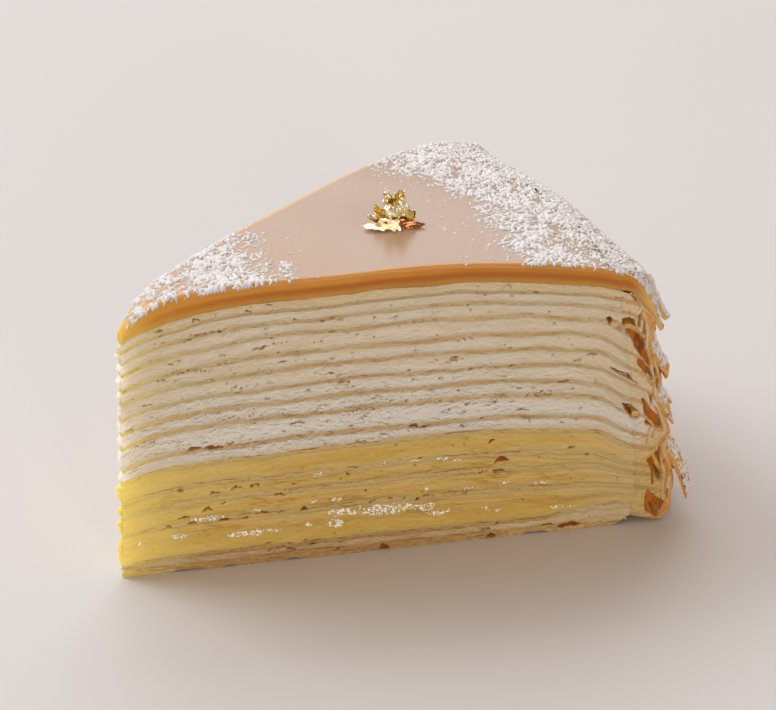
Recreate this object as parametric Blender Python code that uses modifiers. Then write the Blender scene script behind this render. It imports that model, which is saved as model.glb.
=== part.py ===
"""A slice of crepe cake: thin crepes with vanilla cream above and custard below, a caramel glaze on
top and a crumpled flake of gold leaf. Towards the rim the crepes' edges hang down over one another.

Units are metres. +Z is up and the slice stands on z = 0. The pointed tip, once the cake's centre, is
towards -X, the rim with its hanging crepe edges is towards +X, and the two cut faces lie either side
of the X axis. Everything is worked out in polar coordinates round the tip and then moved so that the
origin is under the middle of the slice's box.
"""

import math

import bmesh
import bpy
from mathutils import Vector, noise

MM = 0.001

# Driving dimensions
SLICE_ANGLE = math.radians(38.0)  # a little over a tenth of the cake
GAP = 0.3 * MM  # clear space between neighbouring layers
BASE_TIP_RADIUS = 0.9 * MM  # blunt tip that the knife leaves, at the plate
TIP_LEAN = 1.7 * MM  # how far the top of the tip has sunk back
RIM_RADIUS = 99.4 * MM  # where the stacked layers end, low on the rim
RIM_TUCK = 5.6 * MM  # how much shorter the topmost layers are
RIM_FOOT_TUCK = 2.0 * MM  # and the lowest ones
RIM_JITTER = 0.7 * MM  # unevenness of the layers' outer ends

# Sagging of the stack: away from the middle every layer droops, the upper ones most
TIP_SAG = 2.6 * MM
TIP_SAG_REACH = 40.0 * MM
TIP_CURL = 5.2 * MM
TIP_CURL_REACH = 5.0 * MM
RIM_SAG = 3.6 * MM
RIM_SAG_START = 60.0 * MM
RIM_SAG_REACH = 30.0 * MM
RIM_CURL = 2.8 * MM  # close to the rim the layers curl down once more
RIM_CURL_START = 90.0 * MM
RIM_CURL_REACH = 8.0 * MM
CURL_LEVELS = (8.0 * MM, 24.0 * MM)  # the curl grows between these levels
PARTING_LEVEL = 48.3 * MM  # the layers above this one have come away from those below and curl less
PARTED_CURL = 0.25
WAVE_HEIGHT = 0.45 * MM  # slow waves in the layers
WAVE_LENGTH = 20.0 * MM
WAVE_RISE = 12.0 * MM  # how far up the stack a wave keeps its shape

# The stack from the plate up: what each layer is, and its thickness in millimetres at the middle
STACK = (
    ("crepe", 1.0),
    ("crepe", 0.9),
    ("cream", 1.2),
    ("crepe", 0.9),
    ("custard", 6.5),
    ("crepe", 1.0),
    ("custard", 3.5),
    ("crepe", 1.0),
    ("custard", 2.4),
    ("crepe", 1.0),
    ("custard", 4.1),
    ("crepe", 0.9),
    ("cream", 2.1),
    ("crepe", 0.9),
    ("cream", 3.8),
    ("crepe", 0.9),
    ("cream", 2.3),
    ("crepe", 0.9),
    ("cream", 2.5),
    ("crepe", 0.8),
    ("cream", 2.7),
    ("crepe", 0.9),
    ("cream", 2.3),
    ("crepe", 0.9),
    ("cream", 2.9),
    ("crepe", 0.9),
    ("cream", 2.0),
    ("crepe", 0.8),
    ("cream", 1.7),
    ("crepe", 0.9),
    ("cream", 1.4),
    ("glaze", 4.0),
)
STACK_HEIGHT = sum(thickness for _, thickness in STACK) * MM

# Layers whose edge hangs down outside the rim: how far down it drops, how far out it flares, and how
# full the bend is, from 0, close to the rim, to 1, well rounded
HANGING = {
    "glaze": (11.6 * MM, 8.5 * MM, 0.75),
    "crepe_16": (8.6 * MM, 6.4 * MM, 0.65),
    "crepe_14": (13.8 * MM, 7.4 * MM, 0.5),
    "crepe_12": (15.4 * MM, 9.0 * MM, 0.2),
    "crepe_09": (4.6 * MM, 4.2 * MM, 0.5),
    "crepe_08": (17.4 * MM, 10.5 * MM, 1.0),
    "crepe_07": (7.4 * MM, 5.4 * MM, 0.8),
}
HANGING_WAVE = 0.35 * MM  # ruffles in the hanging edges
HANGING_RAGGED = 4.0 * MM  # unevenness of their lower ends
BASE_FOLD = "crepe_05"  # its edge is tucked under the slice
BASE_FOLD_BULGE = 6.6 * MM
BASE_FOLD_FLOOR = 0.8 * MM

# The glaze thins out where it has run over the tip and at the end of its hanging edge
GLAZE_TIP_RUN = 2.4 * MM
GLAZE_TIP_REACH = 6.0 * MM
GLAZE_LIP = 0.9 * MM

# Gold leaf: a crumpled flake that stands on the glaze
LEAF_PLACE = (57.8 * MM, -1.75 * MM)  # from the tip
LEAF_TURN = math.radians(-30.0)
LEAF_WIDTH = 11.6 * MM
LEAF_DEPTH = 7.4 * MM
LEAF_RISE = 6.4 * MM
LEAF_CRUMPLE = 0.34  # unevenness of its rise and its outline, as a share
LEAF_THICKNESS = 0.35 * MM

# Mesh density
RADIAL_STEPS = 10
ANGULAR_STEPS = 5
HANGING_STEPS = 5
LEAF_STEPS = 8

FINISHES = {
    # colour, roughness, metallic
    "crepe": ((0.72, 0.50, 0.24), 0.62, 0.0),
    "cream": ((0.80, 0.72, 0.58), 0.55, 0.0),
    "custard": ((0.80, 0.58, 0.20), 0.32, 0.0),
    "glaze": ((0.62, 0.30, 0.09), 0.12, 0.0),
    "gold_leaf": ((0.95, 0.70, 0.22), 0.25, 1.0),
}


def clear_scene():
    for obj in list(bpy.data.objects):
        bpy.data.objects.remove(obj)


def material(finish):
    """The material of one kind of layer."""
    colour, roughness, metallic = FINISHES[finish]
    made = bpy.data.materials.new(finish)
    made.use_nodes = True
    shader = made.node_tree.nodes["Principled BSDF"]
    shader.inputs["Base Color"].default_value = (*colour, 1.0)
    shader.inputs["Roughness"].default_value = roughness
    shader.inputs["Metallic"].default_value = metallic
    made.diffuse_color = (*colour, 1.0)
    return made


def eased(share):
    """0 up to a share of 0, 1 from a share of 1, and a smooth rise between."""
    share = min(1.0, max(0.0, share))
    return share * share * (3.0 - 2.0 * share)


def curl(level):
    """How far this level curls down at the rim."""
    if level > PARTING_LEVEL:
        return RIM_CURL * PARTED_CURL
    low, high = CURL_LEVELS
    return RIM_CURL * eased((level - low) / (high - low))


def sagged(radius, angle, level):
    """How high a point at this level of a straight stack lies in the sagged one."""
    share = level / STACK_HEIGHT
    near_tip = max(0.0, 1.0 - radius / TIP_SAG_REACH) ** 2 * TIP_SAG
    near_tip += math.exp(-radius / TIP_CURL_REACH) * TIP_CURL
    near_rim = share**0.5 * max(0.0, (radius - RIM_SAG_START) / RIM_SAG_REACH) ** 2 * RIM_SAG
    near_rim += curl(level) * eased((radius - RIM_CURL_START) / RIM_CURL_REACH)
    spot = Vector((radius * math.cos(angle), radius * math.sin(angle), 0.0)) / WAVE_LENGTH
    spot.z = level / WAVE_RISE
    wave = noise.noise(spot) * WAVE_HEIGHT * min(1.0, 4.0 * share)
    return level - share**0.7 * near_tip - near_rim + wave


def rim_radius(level):
    """How far from the tip the stacked layers reach: least at the top, and a little less at the plate."""
    share = level / STACK_HEIGHT
    return RIM_RADIUS - RIM_TUCK * share**2.5 - RIM_FOOT_TUCK * max(0.0, 1.0 - share / 0.1)


def tip_radius(level):
    return BASE_TIP_RADIUS + TIP_LEAN * level / STACK_HEIGHT


def along_stack(share, level):
    """The radius at this share of the way from tip to rim. Steps are shorter where the layers bend most."""
    start, end = tip_radius(level), rim_radius(level)
    return start + (end - start) * (share - 0.12 * math.sin(2.0 * math.pi * share))


def cut_angle(side):
    return SLICE_ANGLE * (side / ANGULAR_STEPS - 0.5)


def polar(radius, angle, height):
    return Vector((radius * math.cos(angle), radius * math.sin(angle), height))


def bezier(points, share):
    """The point and the direction of a cubic curve, given as radius and height, at this share of its run."""
    rest = 1.0 - share
    weights = (rest**3, 3.0 * rest**2 * share, 3.0 * rest * share**2, share**3)
    slopes = (-(rest**2), rest * (rest - 2.0 * share), share * (2.0 * rest - share), share**2)
    place = sum((point * weight for point, weight in zip(points, weights)), Vector((0.0, 0.0)))
    heading = sum((point * slope for point, slope in zip(points, slopes)), Vector((0.0, 0.0)))
    return place, heading.normalized()


def hanging_curve(name, start, angle):
    """Control points, as radius and height, of the part of a layer that hangs outside the rim."""
    ruffle = HANGING_WAVE * noise.noise(Vector((angle * 9.0, start.y * 200.0, 1.3)))
    if name == BASE_FOLD:
        reach = BASE_FOLD_BULGE + ruffle
        depth = start.y - BASE_FOLD_FLOOR
        offsets = ((0.55 * reach, -0.15 * depth), (1.9 * reach, -1.02 * depth), (0.45 * reach, -depth))
    else:
        drop, flare, fullness = HANGING[name]
        ragged = abs(noise.noise(Vector((angle * 16.0, start.y * 300.0, 5.1))))
        drop -= HANGING_RAGGED * ragged * min(1.0, drop / (10.0 * MM))
        flare += ruffle
        offsets = (
            ((0.35 + 0.2 * fullness) * flare, -0.08 * drop),
            ((0.4 + 0.36 * fullness) * flare, -0.6 * drop),
            (flare, -drop),
        )
    return [start] + [start + Vector(offset) for offset in offsets]


def grid_mesh(across, around):
    """A bmesh grid whose vertices carry their step from tip to rim and their step from one side to the other."""
    mesh = bmesh.new()
    for name in ("out", "side"):
        mesh.verts.layers.int.new(name)
    out, side = mesh.verts.layers.int["out"], mesh.verts.layers.int["side"]
    bmesh.ops.create_grid(mesh, x_segments=across, y_segments=around, size=1.0)
    for vert in mesh.verts:
        vert[out] = round((vert.co.x + 1.0) / 2.0 * across)
        vert[side] = round((vert.co.y + 1.0) / 2.0 * around)
    return mesh, out, side


def new_object(name, mesh, finish, parts):
    bmesh.ops.recalc_face_normals(mesh, faces=mesh.faces)
    data = bpy.data.meshes.new(name)
    mesh.to_mesh(data)
    mesh.free()
    data.materials.append(finish)
    obj = bpy.data.objects.new(name, data)
    parts.objects.link(obj)
    return obj


def solid_between(name, across, surfaces, finish, parts):
    """A solid whose upper and lower surfaces are given for each pair of steps: a grid, extruded down."""
    mesh, out, side = grid_mesh(across, ANGULAR_STEPS)
    for vert in mesh.verts:
        vert.co = surfaces(vert[out], vert[side])[0]
    made = bmesh.ops.extrude_face_region(mesh, geom=mesh.faces[:])
    for item in made["geom"]:
        if isinstance(item, bmesh.types.BMVert):
            item.co = surfaces(item[out], item[side])[1]
    return new_object(name, mesh, finish, parts)


def filled_layer(name, finish, floor, ceiling, parts):
    """A layer that ends at the rim, from one level of the stack up to another."""
    middle = (floor + ceiling) / 2.0

    def surfaces(out, side):
        angle = cut_angle(side)
        share = out / RADIAL_STEPS
        jitter = RIM_JITTER * abs(noise.noise(Vector((angle * 4.0, middle * 900.0, 3.7))))
        radius = along_stack(share, middle) - jitter * share
        bottom = sagged(radius, angle, floor) if floor > 0.0 else 0.0
        return polar(radius, angle, sagged(radius, angle, ceiling)), polar(radius, angle, bottom)

    return solid_between(name, RADIAL_STEPS, surfaces, finish, parts)


def glaze_layer(name, finish, floor, ceiling, parts):
    """The glaze: a slab that thins over the tip, and outside the rim a tapering edge that hangs down."""
    middle = (floor + ceiling) / 2.0

    def surfaces(out, side):
        angle = cut_angle(side)
        radius = along_stack(min(1.0, out / RADIAL_STEPS), middle)
        top = sagged(radius, angle, ceiling) - GLAZE_TIP_RUN * math.exp(-((radius / GLAZE_TIP_REACH) ** 2))
        bottom = sagged(radius, angle, floor)
        if out <= RADIAL_STEPS:
            return polar(radius, angle, top), polar(radius, angle, bottom)
        share = (out - RADIAL_STEPS) / HANGING_STEPS
        start = Vector((radius, (top + bottom) / 2.0))
        place, heading = bezier(hanging_curve(name, start, angle), share)
        half = (top - bottom) / 2.0 * (1.0 - share) + GLAZE_LIP / 2.0 * share
        outward = Vector((-heading.y, heading.x)) * half
        upper, lower = place + outward, place - outward
        return polar(upper.x, angle, upper.y), polar(lower.x, angle, lower.y)

    return solid_between(name, RADIAL_STEPS + HANGING_STEPS, surfaces, finish, parts)


def hanging_crepe(name, finish, floor, ceiling, parts):
    """A crepe that runs through the cake and hangs down outside it: an open sheet, thickened."""
    mesh, out, side = grid_mesh(RADIAL_STEPS + HANGING_STEPS, ANGULAR_STEPS)
    middle = (floor + ceiling) / 2.0
    for vert in mesh.verts:
        angle = cut_angle(vert[side])
        radius = along_stack(min(1.0, vert[out] / RADIAL_STEPS), middle)
        place = Vector((radius, sagged(radius, angle, middle)))
        if vert[out] > RADIAL_STEPS:
            share = (vert[out] - RADIAL_STEPS) / HANGING_STEPS
            place, _ = bezier(hanging_curve(name, place, angle), share)
        vert.co = polar(place.x, angle, place.y)
    obj = new_object(name, mesh, finish, parts)
    thicken = obj.modifiers.new("thickness", "SOLIDIFY")
    thicken.thickness = ceiling - floor
    thicken.offset = 0.0
    return obj


def stacked_layers(finishes, parts):
    """Every layer of the stack, numbered from the plate up within its own kind."""
    counts = {}
    level = 0.0
    nodes = []
    for kind, thickness in STACK:
        counts[kind] = counts.get(kind, 0) + 1
        name = kind if kind == "glaze" else f"{kind}_{counts[kind]:02d}"
        floor = level + GAP / 2.0 if level > 0.0 else 0.0
        level += thickness * MM
        ceiling = level - GAP / 2.0
        if kind == "glaze":
            build = glaze_layer
        elif name in HANGING or name == BASE_FOLD:
            build = hanging_crepe
        else:
            build = filled_layer
        nodes.append(build(name, finishes[kind], floor, ceiling, parts))
    return nodes


def gold_leaf(finish, parts):
    """A crumpled flake: a ragged sheet drawn up into peaks, thickened, standing just clear of the glaze."""
    mesh, _, _ = grid_mesh(LEAF_STEPS, LEAF_STEPS)
    for vert in mesh.verts:
        reach = max(abs(vert.co.x), abs(vert.co.y))
        heading = vert.co.xy.normalized() if reach > 0.0 else Vector((0.0, 0.0))
        outline = 1.0 + LEAF_CRUMPLE * noise.noise(Vector((*heading, 0.0)) * 1.7)
        peaks = 1.0 + LEAF_CRUMPLE * 2.2 * noise.noise(Vector((vert.co.x * 2.3, vert.co.y * 1.6, 4.2)))
        vert.co = Vector((
            heading.x * reach * outline * LEAF_WIDTH / 2.0,
            heading.y * reach * outline * LEAF_DEPTH / 2.0,
            LEAF_RISE * (1.0 - reach) ** 0.8 * peaks,
        ))
    obj = new_object("gold_leaf", mesh, finish, parts)
    thicken = obj.modifiers.new("thickness", "SOLIDIFY")
    thicken.thickness = LEAF_THICKNESS
    thicken.offset = 1.0
    ceiling = STACK_HEIGHT - GAP / 2.0
    radius, angle = math.hypot(*LEAF_PLACE), math.atan2(LEAF_PLACE[1], LEAF_PLACE[0])
    obj.location = (*LEAF_PLACE, sagged(radius, angle, ceiling) + 2.0 * GAP)
    obj.rotation_euler.z = LEAF_TURN
    return obj


def centre_over_origin(nodes, parts):
    """Puts the tip of the slice where the middle of the whole box comes over the origin."""
    tip = bpy.data.objects.new("tip", None)
    parts.objects.link(tip)
    for node in nodes:
        node.parent = tip
    bpy.context.view_layer.update()
    graph = bpy.context.evaluated_depsgraph_get()
    corners = []
    for node in nodes:
        evaluated = node.evaluated_get(graph)
        corners += [evaluated.matrix_world @ vert.co for vert in evaluated.data.vertices]
    middle = [(min(c[axis] for c in corners) + max(c[axis] for c in corners)) / 2.0 for axis in (0, 1)]
    tip.location = (-middle[0], -middle[1], 0.0)


def main():
    clear_scene()
    parts = bpy.data.collections.new("crepe_cake_slice")
    bpy.context.scene.collection.children.link(parts)
    finishes = {kind: material(kind) for kind in FINISHES}
    nodes = stacked_layers(finishes, parts)
    nodes.append(gold_leaf(finishes["gold_leaf"], parts))
    centre_over_origin(nodes, parts)


main()
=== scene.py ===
"""A slice of crepe cake, dressed: every layer of its solid model gets a cut face with tears and bulges, its
crepes get ragged hanging edges, and the caramel glaze gets gold leaf and a dusting of icing sugar.

Everything is worked out in millimetres, in polar coordinates round the tip of the slice, and moved into the
solid model's place when its mesh is made. A face's own coordinates are called laid: how far along the
slice's outline a point is, starting at the tip and going along the near cut face, round the rim and back
along the far cut face, and its level, the height it would have if the stack had not sagged.
"""

import itertools
import math

import bpy
import numpy as np
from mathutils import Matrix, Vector, noise


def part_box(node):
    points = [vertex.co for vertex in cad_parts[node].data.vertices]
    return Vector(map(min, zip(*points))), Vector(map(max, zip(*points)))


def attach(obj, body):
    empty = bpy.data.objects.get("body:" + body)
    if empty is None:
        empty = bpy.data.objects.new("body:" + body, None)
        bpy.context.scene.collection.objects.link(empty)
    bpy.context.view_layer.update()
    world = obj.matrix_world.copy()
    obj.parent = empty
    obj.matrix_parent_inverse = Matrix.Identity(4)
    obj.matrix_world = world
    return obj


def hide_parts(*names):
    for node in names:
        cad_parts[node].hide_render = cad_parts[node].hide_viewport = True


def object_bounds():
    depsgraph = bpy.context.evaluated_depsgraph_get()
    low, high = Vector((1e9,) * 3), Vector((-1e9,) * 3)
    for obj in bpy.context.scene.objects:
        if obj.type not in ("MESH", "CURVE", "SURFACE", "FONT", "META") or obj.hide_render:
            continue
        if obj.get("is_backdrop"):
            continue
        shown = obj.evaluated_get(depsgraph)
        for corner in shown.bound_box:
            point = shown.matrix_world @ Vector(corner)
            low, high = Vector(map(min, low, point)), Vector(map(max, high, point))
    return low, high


bl_info = {
    "name": "Crepe Cake Slice",
    "version": (1, 0, 0),
    "blender": (4, 5, 0),
    "location": "3D View > Sidebar > Cake",
    "description": "Dresses a slice of crepe cake: layers, glaze, gold leaf and icing sugar",
    "category": "Add Mesh",
}

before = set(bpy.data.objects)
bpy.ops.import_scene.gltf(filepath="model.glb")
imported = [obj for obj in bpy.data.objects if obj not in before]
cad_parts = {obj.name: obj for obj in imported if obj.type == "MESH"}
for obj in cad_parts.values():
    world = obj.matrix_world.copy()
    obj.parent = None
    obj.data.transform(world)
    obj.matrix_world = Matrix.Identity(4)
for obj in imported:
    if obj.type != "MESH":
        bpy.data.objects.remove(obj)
CAD_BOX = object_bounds()
MM = 0.001

# ---------------------------------------------------------------- the stack, as in the solid model (mm)
HALF_ANGLE = math.radians(19.0)
BASE_TIP_RADIUS, TIP_LEAN = 0.9, 1.7
RIM_RADIUS, RIM_TUCK, RIM_FOOT_TUCK = 99.4, 5.6, 2.0
TIP_SAG, TIP_SAG_REACH, TIP_CURL, TIP_CURL_REACH = 2.6, 40.0, 5.2, 5.0
RIM_SAG, RIM_SAG_START, RIM_SAG_REACH = 3.6, 60.0, 30.0
RIM_CURL, RIM_CURL_START, RIM_CURL_REACH = 2.8, 90.0, 8.0
CURL_LEVELS, PARTING_LEVEL, PARTED_CURL = (8.0, 24.0), 48.3, 0.25
WAVE_HEIGHT, WAVE_LENGTH, WAVE_RISE = 0.45, 20.0, 12.0
GLAZE_TIP_RUN, GLAZE_TIP_REACH, GLAZE_LIP = 2.4, 6.0, 0.9
STACK = (
    ("crepe", 1.0), ("crepe", 0.9), ("cream", 1.2), ("crepe", 0.9), ("custard", 6.5), ("crepe", 1.0),
    ("custard", 3.5), ("crepe", 1.0), ("custard", 2.4), ("crepe", 1.0), ("custard", 4.1), ("crepe", 0.9),
    ("cream", 2.1), ("crepe", 0.9), ("cream", 3.8), ("crepe", 0.9), ("cream", 2.3), ("crepe", 0.9),
    ("cream", 2.5), ("crepe", 0.8), ("cream", 2.7), ("crepe", 0.9), ("cream", 2.3), ("crepe", 0.9),
    ("cream", 2.9), ("crepe", 0.9), ("cream", 2.0), ("crepe", 0.8), ("cream", 1.7), ("crepe", 0.9),
    ("cream", 1.4), ("glaze", 4.0),
)
TIP_PRESS, TIP_PRESS_REACH = 1.3, 22.0  # how far the glaze presses into the stack at the tip
STACK_HEIGHT = sum(thickness for _, thickness in STACK)
GLAZE_THICKNESS = STACK[-1][1]
GLAZE_FOOT = STACK_HEIGHT - GLAZE_THICKNESS  # the level where the glaze begins
WHOLE_LENGTH = 2.0 * RIM_RADIUS * (1.0 + HALF_ANGLE)  # along the near cut, round the rim and back
HANGING = {
    # how far the edge drops, flares and bends outside the rim, and how thick it is at its root and its end
    "glaze": (11.6, 8.5, 0.75, 3.7, 0.9),
    "crepe_16": (8.6, 6.4, 0.65, 0.9, 0.4),
    "crepe_14": (13.8, 7.4, 0.5, 1.0, 0.45),
    "crepe_12": (15.4, 9.0, 0.2, 1.0, 0.45),
    "crepe_09": (4.6, 4.2, 0.5, 0.9, 0.4),
    "crepe_08": (17.4, 10.5, 1.0, 1.0, 0.5),
    "crepe_07": (7.4, 5.4, 0.8, 0.9, 0.5),
}
FOLDED_CREPE = "crepe_05"  # its piece also carries the folds at the rim
HANGING_WAVE, HANGING_RAGGED = 0.35, 4.0
FOLD_LAP = 3.0  # how far the folds overlap the ends of the layers
GLAZE_BILLOW, GLAZE_TIP_DROOP = 3.2, 1.1
# How much the lowest crepes thicken towards the rim, where that starts and how far it takes
FOOT_ROLL, FOOT_ROLL_START, FOOT_ROLL_REACH = 2.2, 79.0, 13.0
SKIRT_INSET = 0.8  # how far a hanging edge reaches back into the stack
BILLOW = 2.0  # how far a long hanging edge billows out just inside each cut face
# The folded crepe between the stack and the hanging edges, in a cut through the rim: points of its outer
# line, as distance from the tip and height, and the height at which each fold leaves the stack
RIM_FOLDS = (
    (96.6, 50.9, 51.6), (99.2, 48.0, 49.9), (101.0, 45.0, 48.0), (101.4, 42.6, 46.2), (100.5, 40.2, 44.0),
    (101.0, 37.2, 41.0), (102.4, 33.6, 37.4), (103.2, 31.4, 35.4), (103.0, 29.8, 33.6), (102.3, 28.2, 32.0),
    (103.0, 25.6, 29.4), (104.3, 22.4, 26.4), (105.2, 20.0, 23.4), (104.7, 18.0, 21.2), (105.2, 15.0, 17.4),
    (105.9, 11.6, 13.8), (106.4, 8.6, 10.6), (106.2, 6.2, 8.4), (105.8, 4.6, 6.8), (106.3, 3.0, 5.2),
    (105.5, 1.2, 3.6), (103.6, 0.5, 2.7), (101.2, 1.0, 2.1), (99.0, 1.5, 1.9),
)
# Where the solid model has the tip of the slice
FOOT_LOW, FOOT_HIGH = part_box("crepe_01")
FOOT_TIP_RADIUS = BASE_TIP_RADIUS + TIP_LEAN * STACK[0][1] / 2.0 / STACK_HEIGHT
TIP_X = FOOT_LOW.x / MM - FOOT_TIP_RADIUS * math.cos(HALF_ANGLE)
TIP_Y = (FOOT_LOW.y + FOOT_HIGH.y) / 2.0 / MM

# ---------------------------------------------------------------- mesh density
FACE_STEPS = 360  # along each cut face
RIM_STEPS = 40
TIP_STEPS = 3
ROW_HEIGHT = 0.3
SKIRT_COLUMNS, SKIRT_ROWS, SKIRT_PLIES = 150, 24, 3
GLAZE_STEPS, GLAZE_COLUMNS, GLAZE_ROWS = 150, 110, 8
FOLD_ROWS, FOLD_CUT_STEPS, FOLD_RIM_STEPS = 200, 34, 170

SEED = 11
SHARP_ANGLE = math.radians(58.0)


# ---------------------------------------------------------------- numbers
def eased(share):
    """0 up to a share of 0, 1 from a share of 1, and a smooth rise between."""
    share = np.clip(share, 0.0, 1.0)
    return share * share * (3.0 - 2.0 * share)


def lumps(x, y, z=0.0, seed=0):
    """Smooth noise from -1 to 1 over arrays of places. Its features are one unit across."""
    place = np.stack(np.broadcast_arrays(x, y, z), axis=-1).astype(float)
    cell = np.floor(place).astype(np.int64)
    local = place - cell
    fade = local * local * (3.0 - 2.0 * local)
    total = np.zeros(place.shape[:-1])
    for corner in itertools.product((0, 1), repeat=3):
        at = cell + corner
        key = at[..., 0] * 374761393 + at[..., 1] * 668265263 + at[..., 2] * 974634777 + seed * 362437
        key = ((key ^ (key >> 13)) * 1274126177) & 0x7FFFFFFF
        value = ((key ^ (key >> 15)) & 0xFFFF) / 32767.5 - 1.0
        weight = np.prod(np.where(corner, fade, 1.0 - fade), axis=-1)
        total += value * weight
    return total


def rough(x, y, z=0.0, seed=0, octaves=3):
    """Noise with finer and finer detail, about -1 to 1."""
    return sum(lumps(x * 2.0**k, y * 2.0**k, z, seed + k) * 0.55**k for k in range(octaves))


def hill(distance, width):
    """1 where the distance is 0, falling off smoothly on both sides."""
    return np.exp(-((distance / width) ** 2))


def steady_noise(x, y, z):
    """The solid model's own noise, over arrays."""
    spots = np.stack(np.broadcast_arrays(x, y, z), axis=-1)
    flat = [noise.noise(Vector(spot)) for spot in spots.reshape(-1, 3)]
    return np.array(flat).reshape(spots.shape[:-1])


# ---------------------------------------------------------------- the shape of the stack
def curl(level):
    """How far a level curls down at the rim."""
    low, high = CURL_LEVELS
    return RIM_CURL * np.where(level > PARTING_LEVEL, PARTED_CURL, eased((level - low) / (high - low)))


def sagged(radius, angle, level):
    """How high points at this level of a straight stack lie in the sagged one."""
    share = level / STACK_HEIGHT
    near_tip = np.maximum(0.0, 1.0 - radius / TIP_SAG_REACH) ** 2 * TIP_SAG
    near_tip = near_tip + np.exp(-radius / TIP_CURL_REACH) * TIP_CURL
    near_rim = share**0.5 * np.maximum(0.0, (radius - RIM_SAG_START) / RIM_SAG_REACH) ** 2 * RIM_SAG
    near_rim = near_rim + curl(level) * eased((radius - RIM_CURL_START) / RIM_CURL_REACH)
    wave = steady_noise(
        radius * np.cos(angle) / WAVE_LENGTH, radius * np.sin(angle) / WAVE_LENGTH, level / WAVE_RISE
    )
    return level - share**0.7 * near_tip - near_rim + wave * WAVE_HEIGHT * np.minimum(1.0, 4.0 * share)


def wobble(radius, angle, seam):
    """The small unevenness of a seam. Both sides of a crepe share most of it, so its thickness is steady."""
    x, y = radius * np.cos(angle), radius * np.sin(angle)
    pair = (seam + 1) // 2
    shared = lumps(x / 9.0, y / 9.0, pair * 3.7, SEED) * 0.3
    shared = shared + lumps(x / 2.6, y / 2.6, pair * 5.1, SEED + 1) * 0.12
    own = lumps(x / 4.0, y / 4.0, seam * 2.3, SEED + 2) * 0.15
    own = own + lumps(x / 1.2, y / 1.2, seam, SEED + 3) * 0.08
    return shared + own


def seam_level(seam):
    """How high the seam above this many layers lies in a straight stack."""
    return sum(thickness for _, thickness in STACK[:seam])


def seam_height(radius, angle, seam):
    """How high the seam above this many layers lies in the sagged one. Seam 0 is the underside."""
    if seam == 0:
        lift = np.maximum(0.0, lumps(radius / 3.0, angle * 30.0, 0.0, SEED + 4) - 0.35) * 0.9
        return lift + eased((radius - 93.5) / 5.5) * 1.6
    level = seam_level(seam)
    height = sagged(radius, angle, level) + wobble(radius, angle, seam)
    if seam < 5:
        rolled = eased((radius - FOOT_ROLL_START) / FOOT_ROLL_REACH) * min(1.0, level / 4.0)
        return height + rolled * (FOOT_ROLL + 0.5 * lumps(radius / 1.9, angle * 30.0, seam * 1.7, SEED + 13))
    return height - TIP_PRESS * hill(radius, TIP_PRESS_REACH) * np.clip((level - 38.0) / 20.0, 0.0, 1.0)


def rim_radius(level):
    share = level / STACK_HEIGHT
    return RIM_RADIUS - RIM_TUCK * share**2.5 - RIM_FOOT_TUCK * max(0.0, 1.0 - share / 0.1)


def tip_radius(level):
    return BASE_TIP_RADIUS + TIP_LEAN * level / STACK_HEIGHT


def layers():
    """Name, kind, and the seams below and above each layer, from the underside up."""
    counts = {}
    for seam, (kind, _) in enumerate(STACK):
        counts[kind] = counts.get(kind, 0) + 1
        yield (kind if kind == "glaze" else f"{kind}_{counts[kind]:02d}"), kind, seam


# ---------------------------------------------------------------- meshes
def in_space(radius, angle, height):
    """Points from their distance from the tip's axis, angle and height."""
    return np.stack([radius * np.cos(angle), radius * np.sin(angle), height], -1)


def make_piece(name, points, faces, laid, look, material, slot, replaces=()):
    """A piece of the cake from points in millimetres round the tip, riding on the slice."""
    data = bpy.data.meshes.new(name)
    placed = (np.asarray(points) + (TIP_X, TIP_Y, 0.0)) * MM
    data.from_pydata(placed.tolist(), [], faces)
    for key, values in (("laid", laid), ("look", look)):
        layer = data.attributes.new(key, "FLOAT_VECTOR", "POINT")
        layer.data.foreach_set("vector", np.asarray(values, np.float32).ravel())
    data.shade_smooth()
    data.set_sharp_from_angle(angle=SHARP_ANGLE)
    data.materials.append(material)
    obj = bpy.data.objects.new(name, data)
    bpy.context.scene.collection.objects.link(obj)
    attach(obj, "root")
    if replaces:
        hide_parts(*replaces)
    return obj


def cells(index):
    """Quads between the rows and columns of a grid of vertex numbers."""
    return np.stack([index[:-1, :-1], index[1:, :-1], index[1:, 1:], index[:-1, 1:]], -1).reshape(-1, 4)


def block(points):
    """The outer faces of a lattice of points, whose axes run out, across and up."""
    index = np.arange(np.prod(points.shape[:3])).reshape(points.shape[:3])
    sides = (index[:, :, -1], index[:, :, 0].T, index[:, 0, :], index[:, -1, :].T, index[-1], index[0].T)
    faces = np.concatenate([cells(side) for side in sides])
    used, faces = np.unique(faces, return_inverse=True)
    return used, faces.reshape(-1, 4)


def joined(parts):
    """Points, faces and per-point values of several meshes as one."""
    points, faces, laid, look, start = [], [], [], [], 0
    for part in parts:
        points.append(part[0])
        faces += [[number + start for number in face] for face in part[1]]
        laid.append(part[2])
        look.append(part[3])
        start += len(part[0])
    return np.concatenate(points), faces, np.concatenate(laid), np.concatenate(look)


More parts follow.
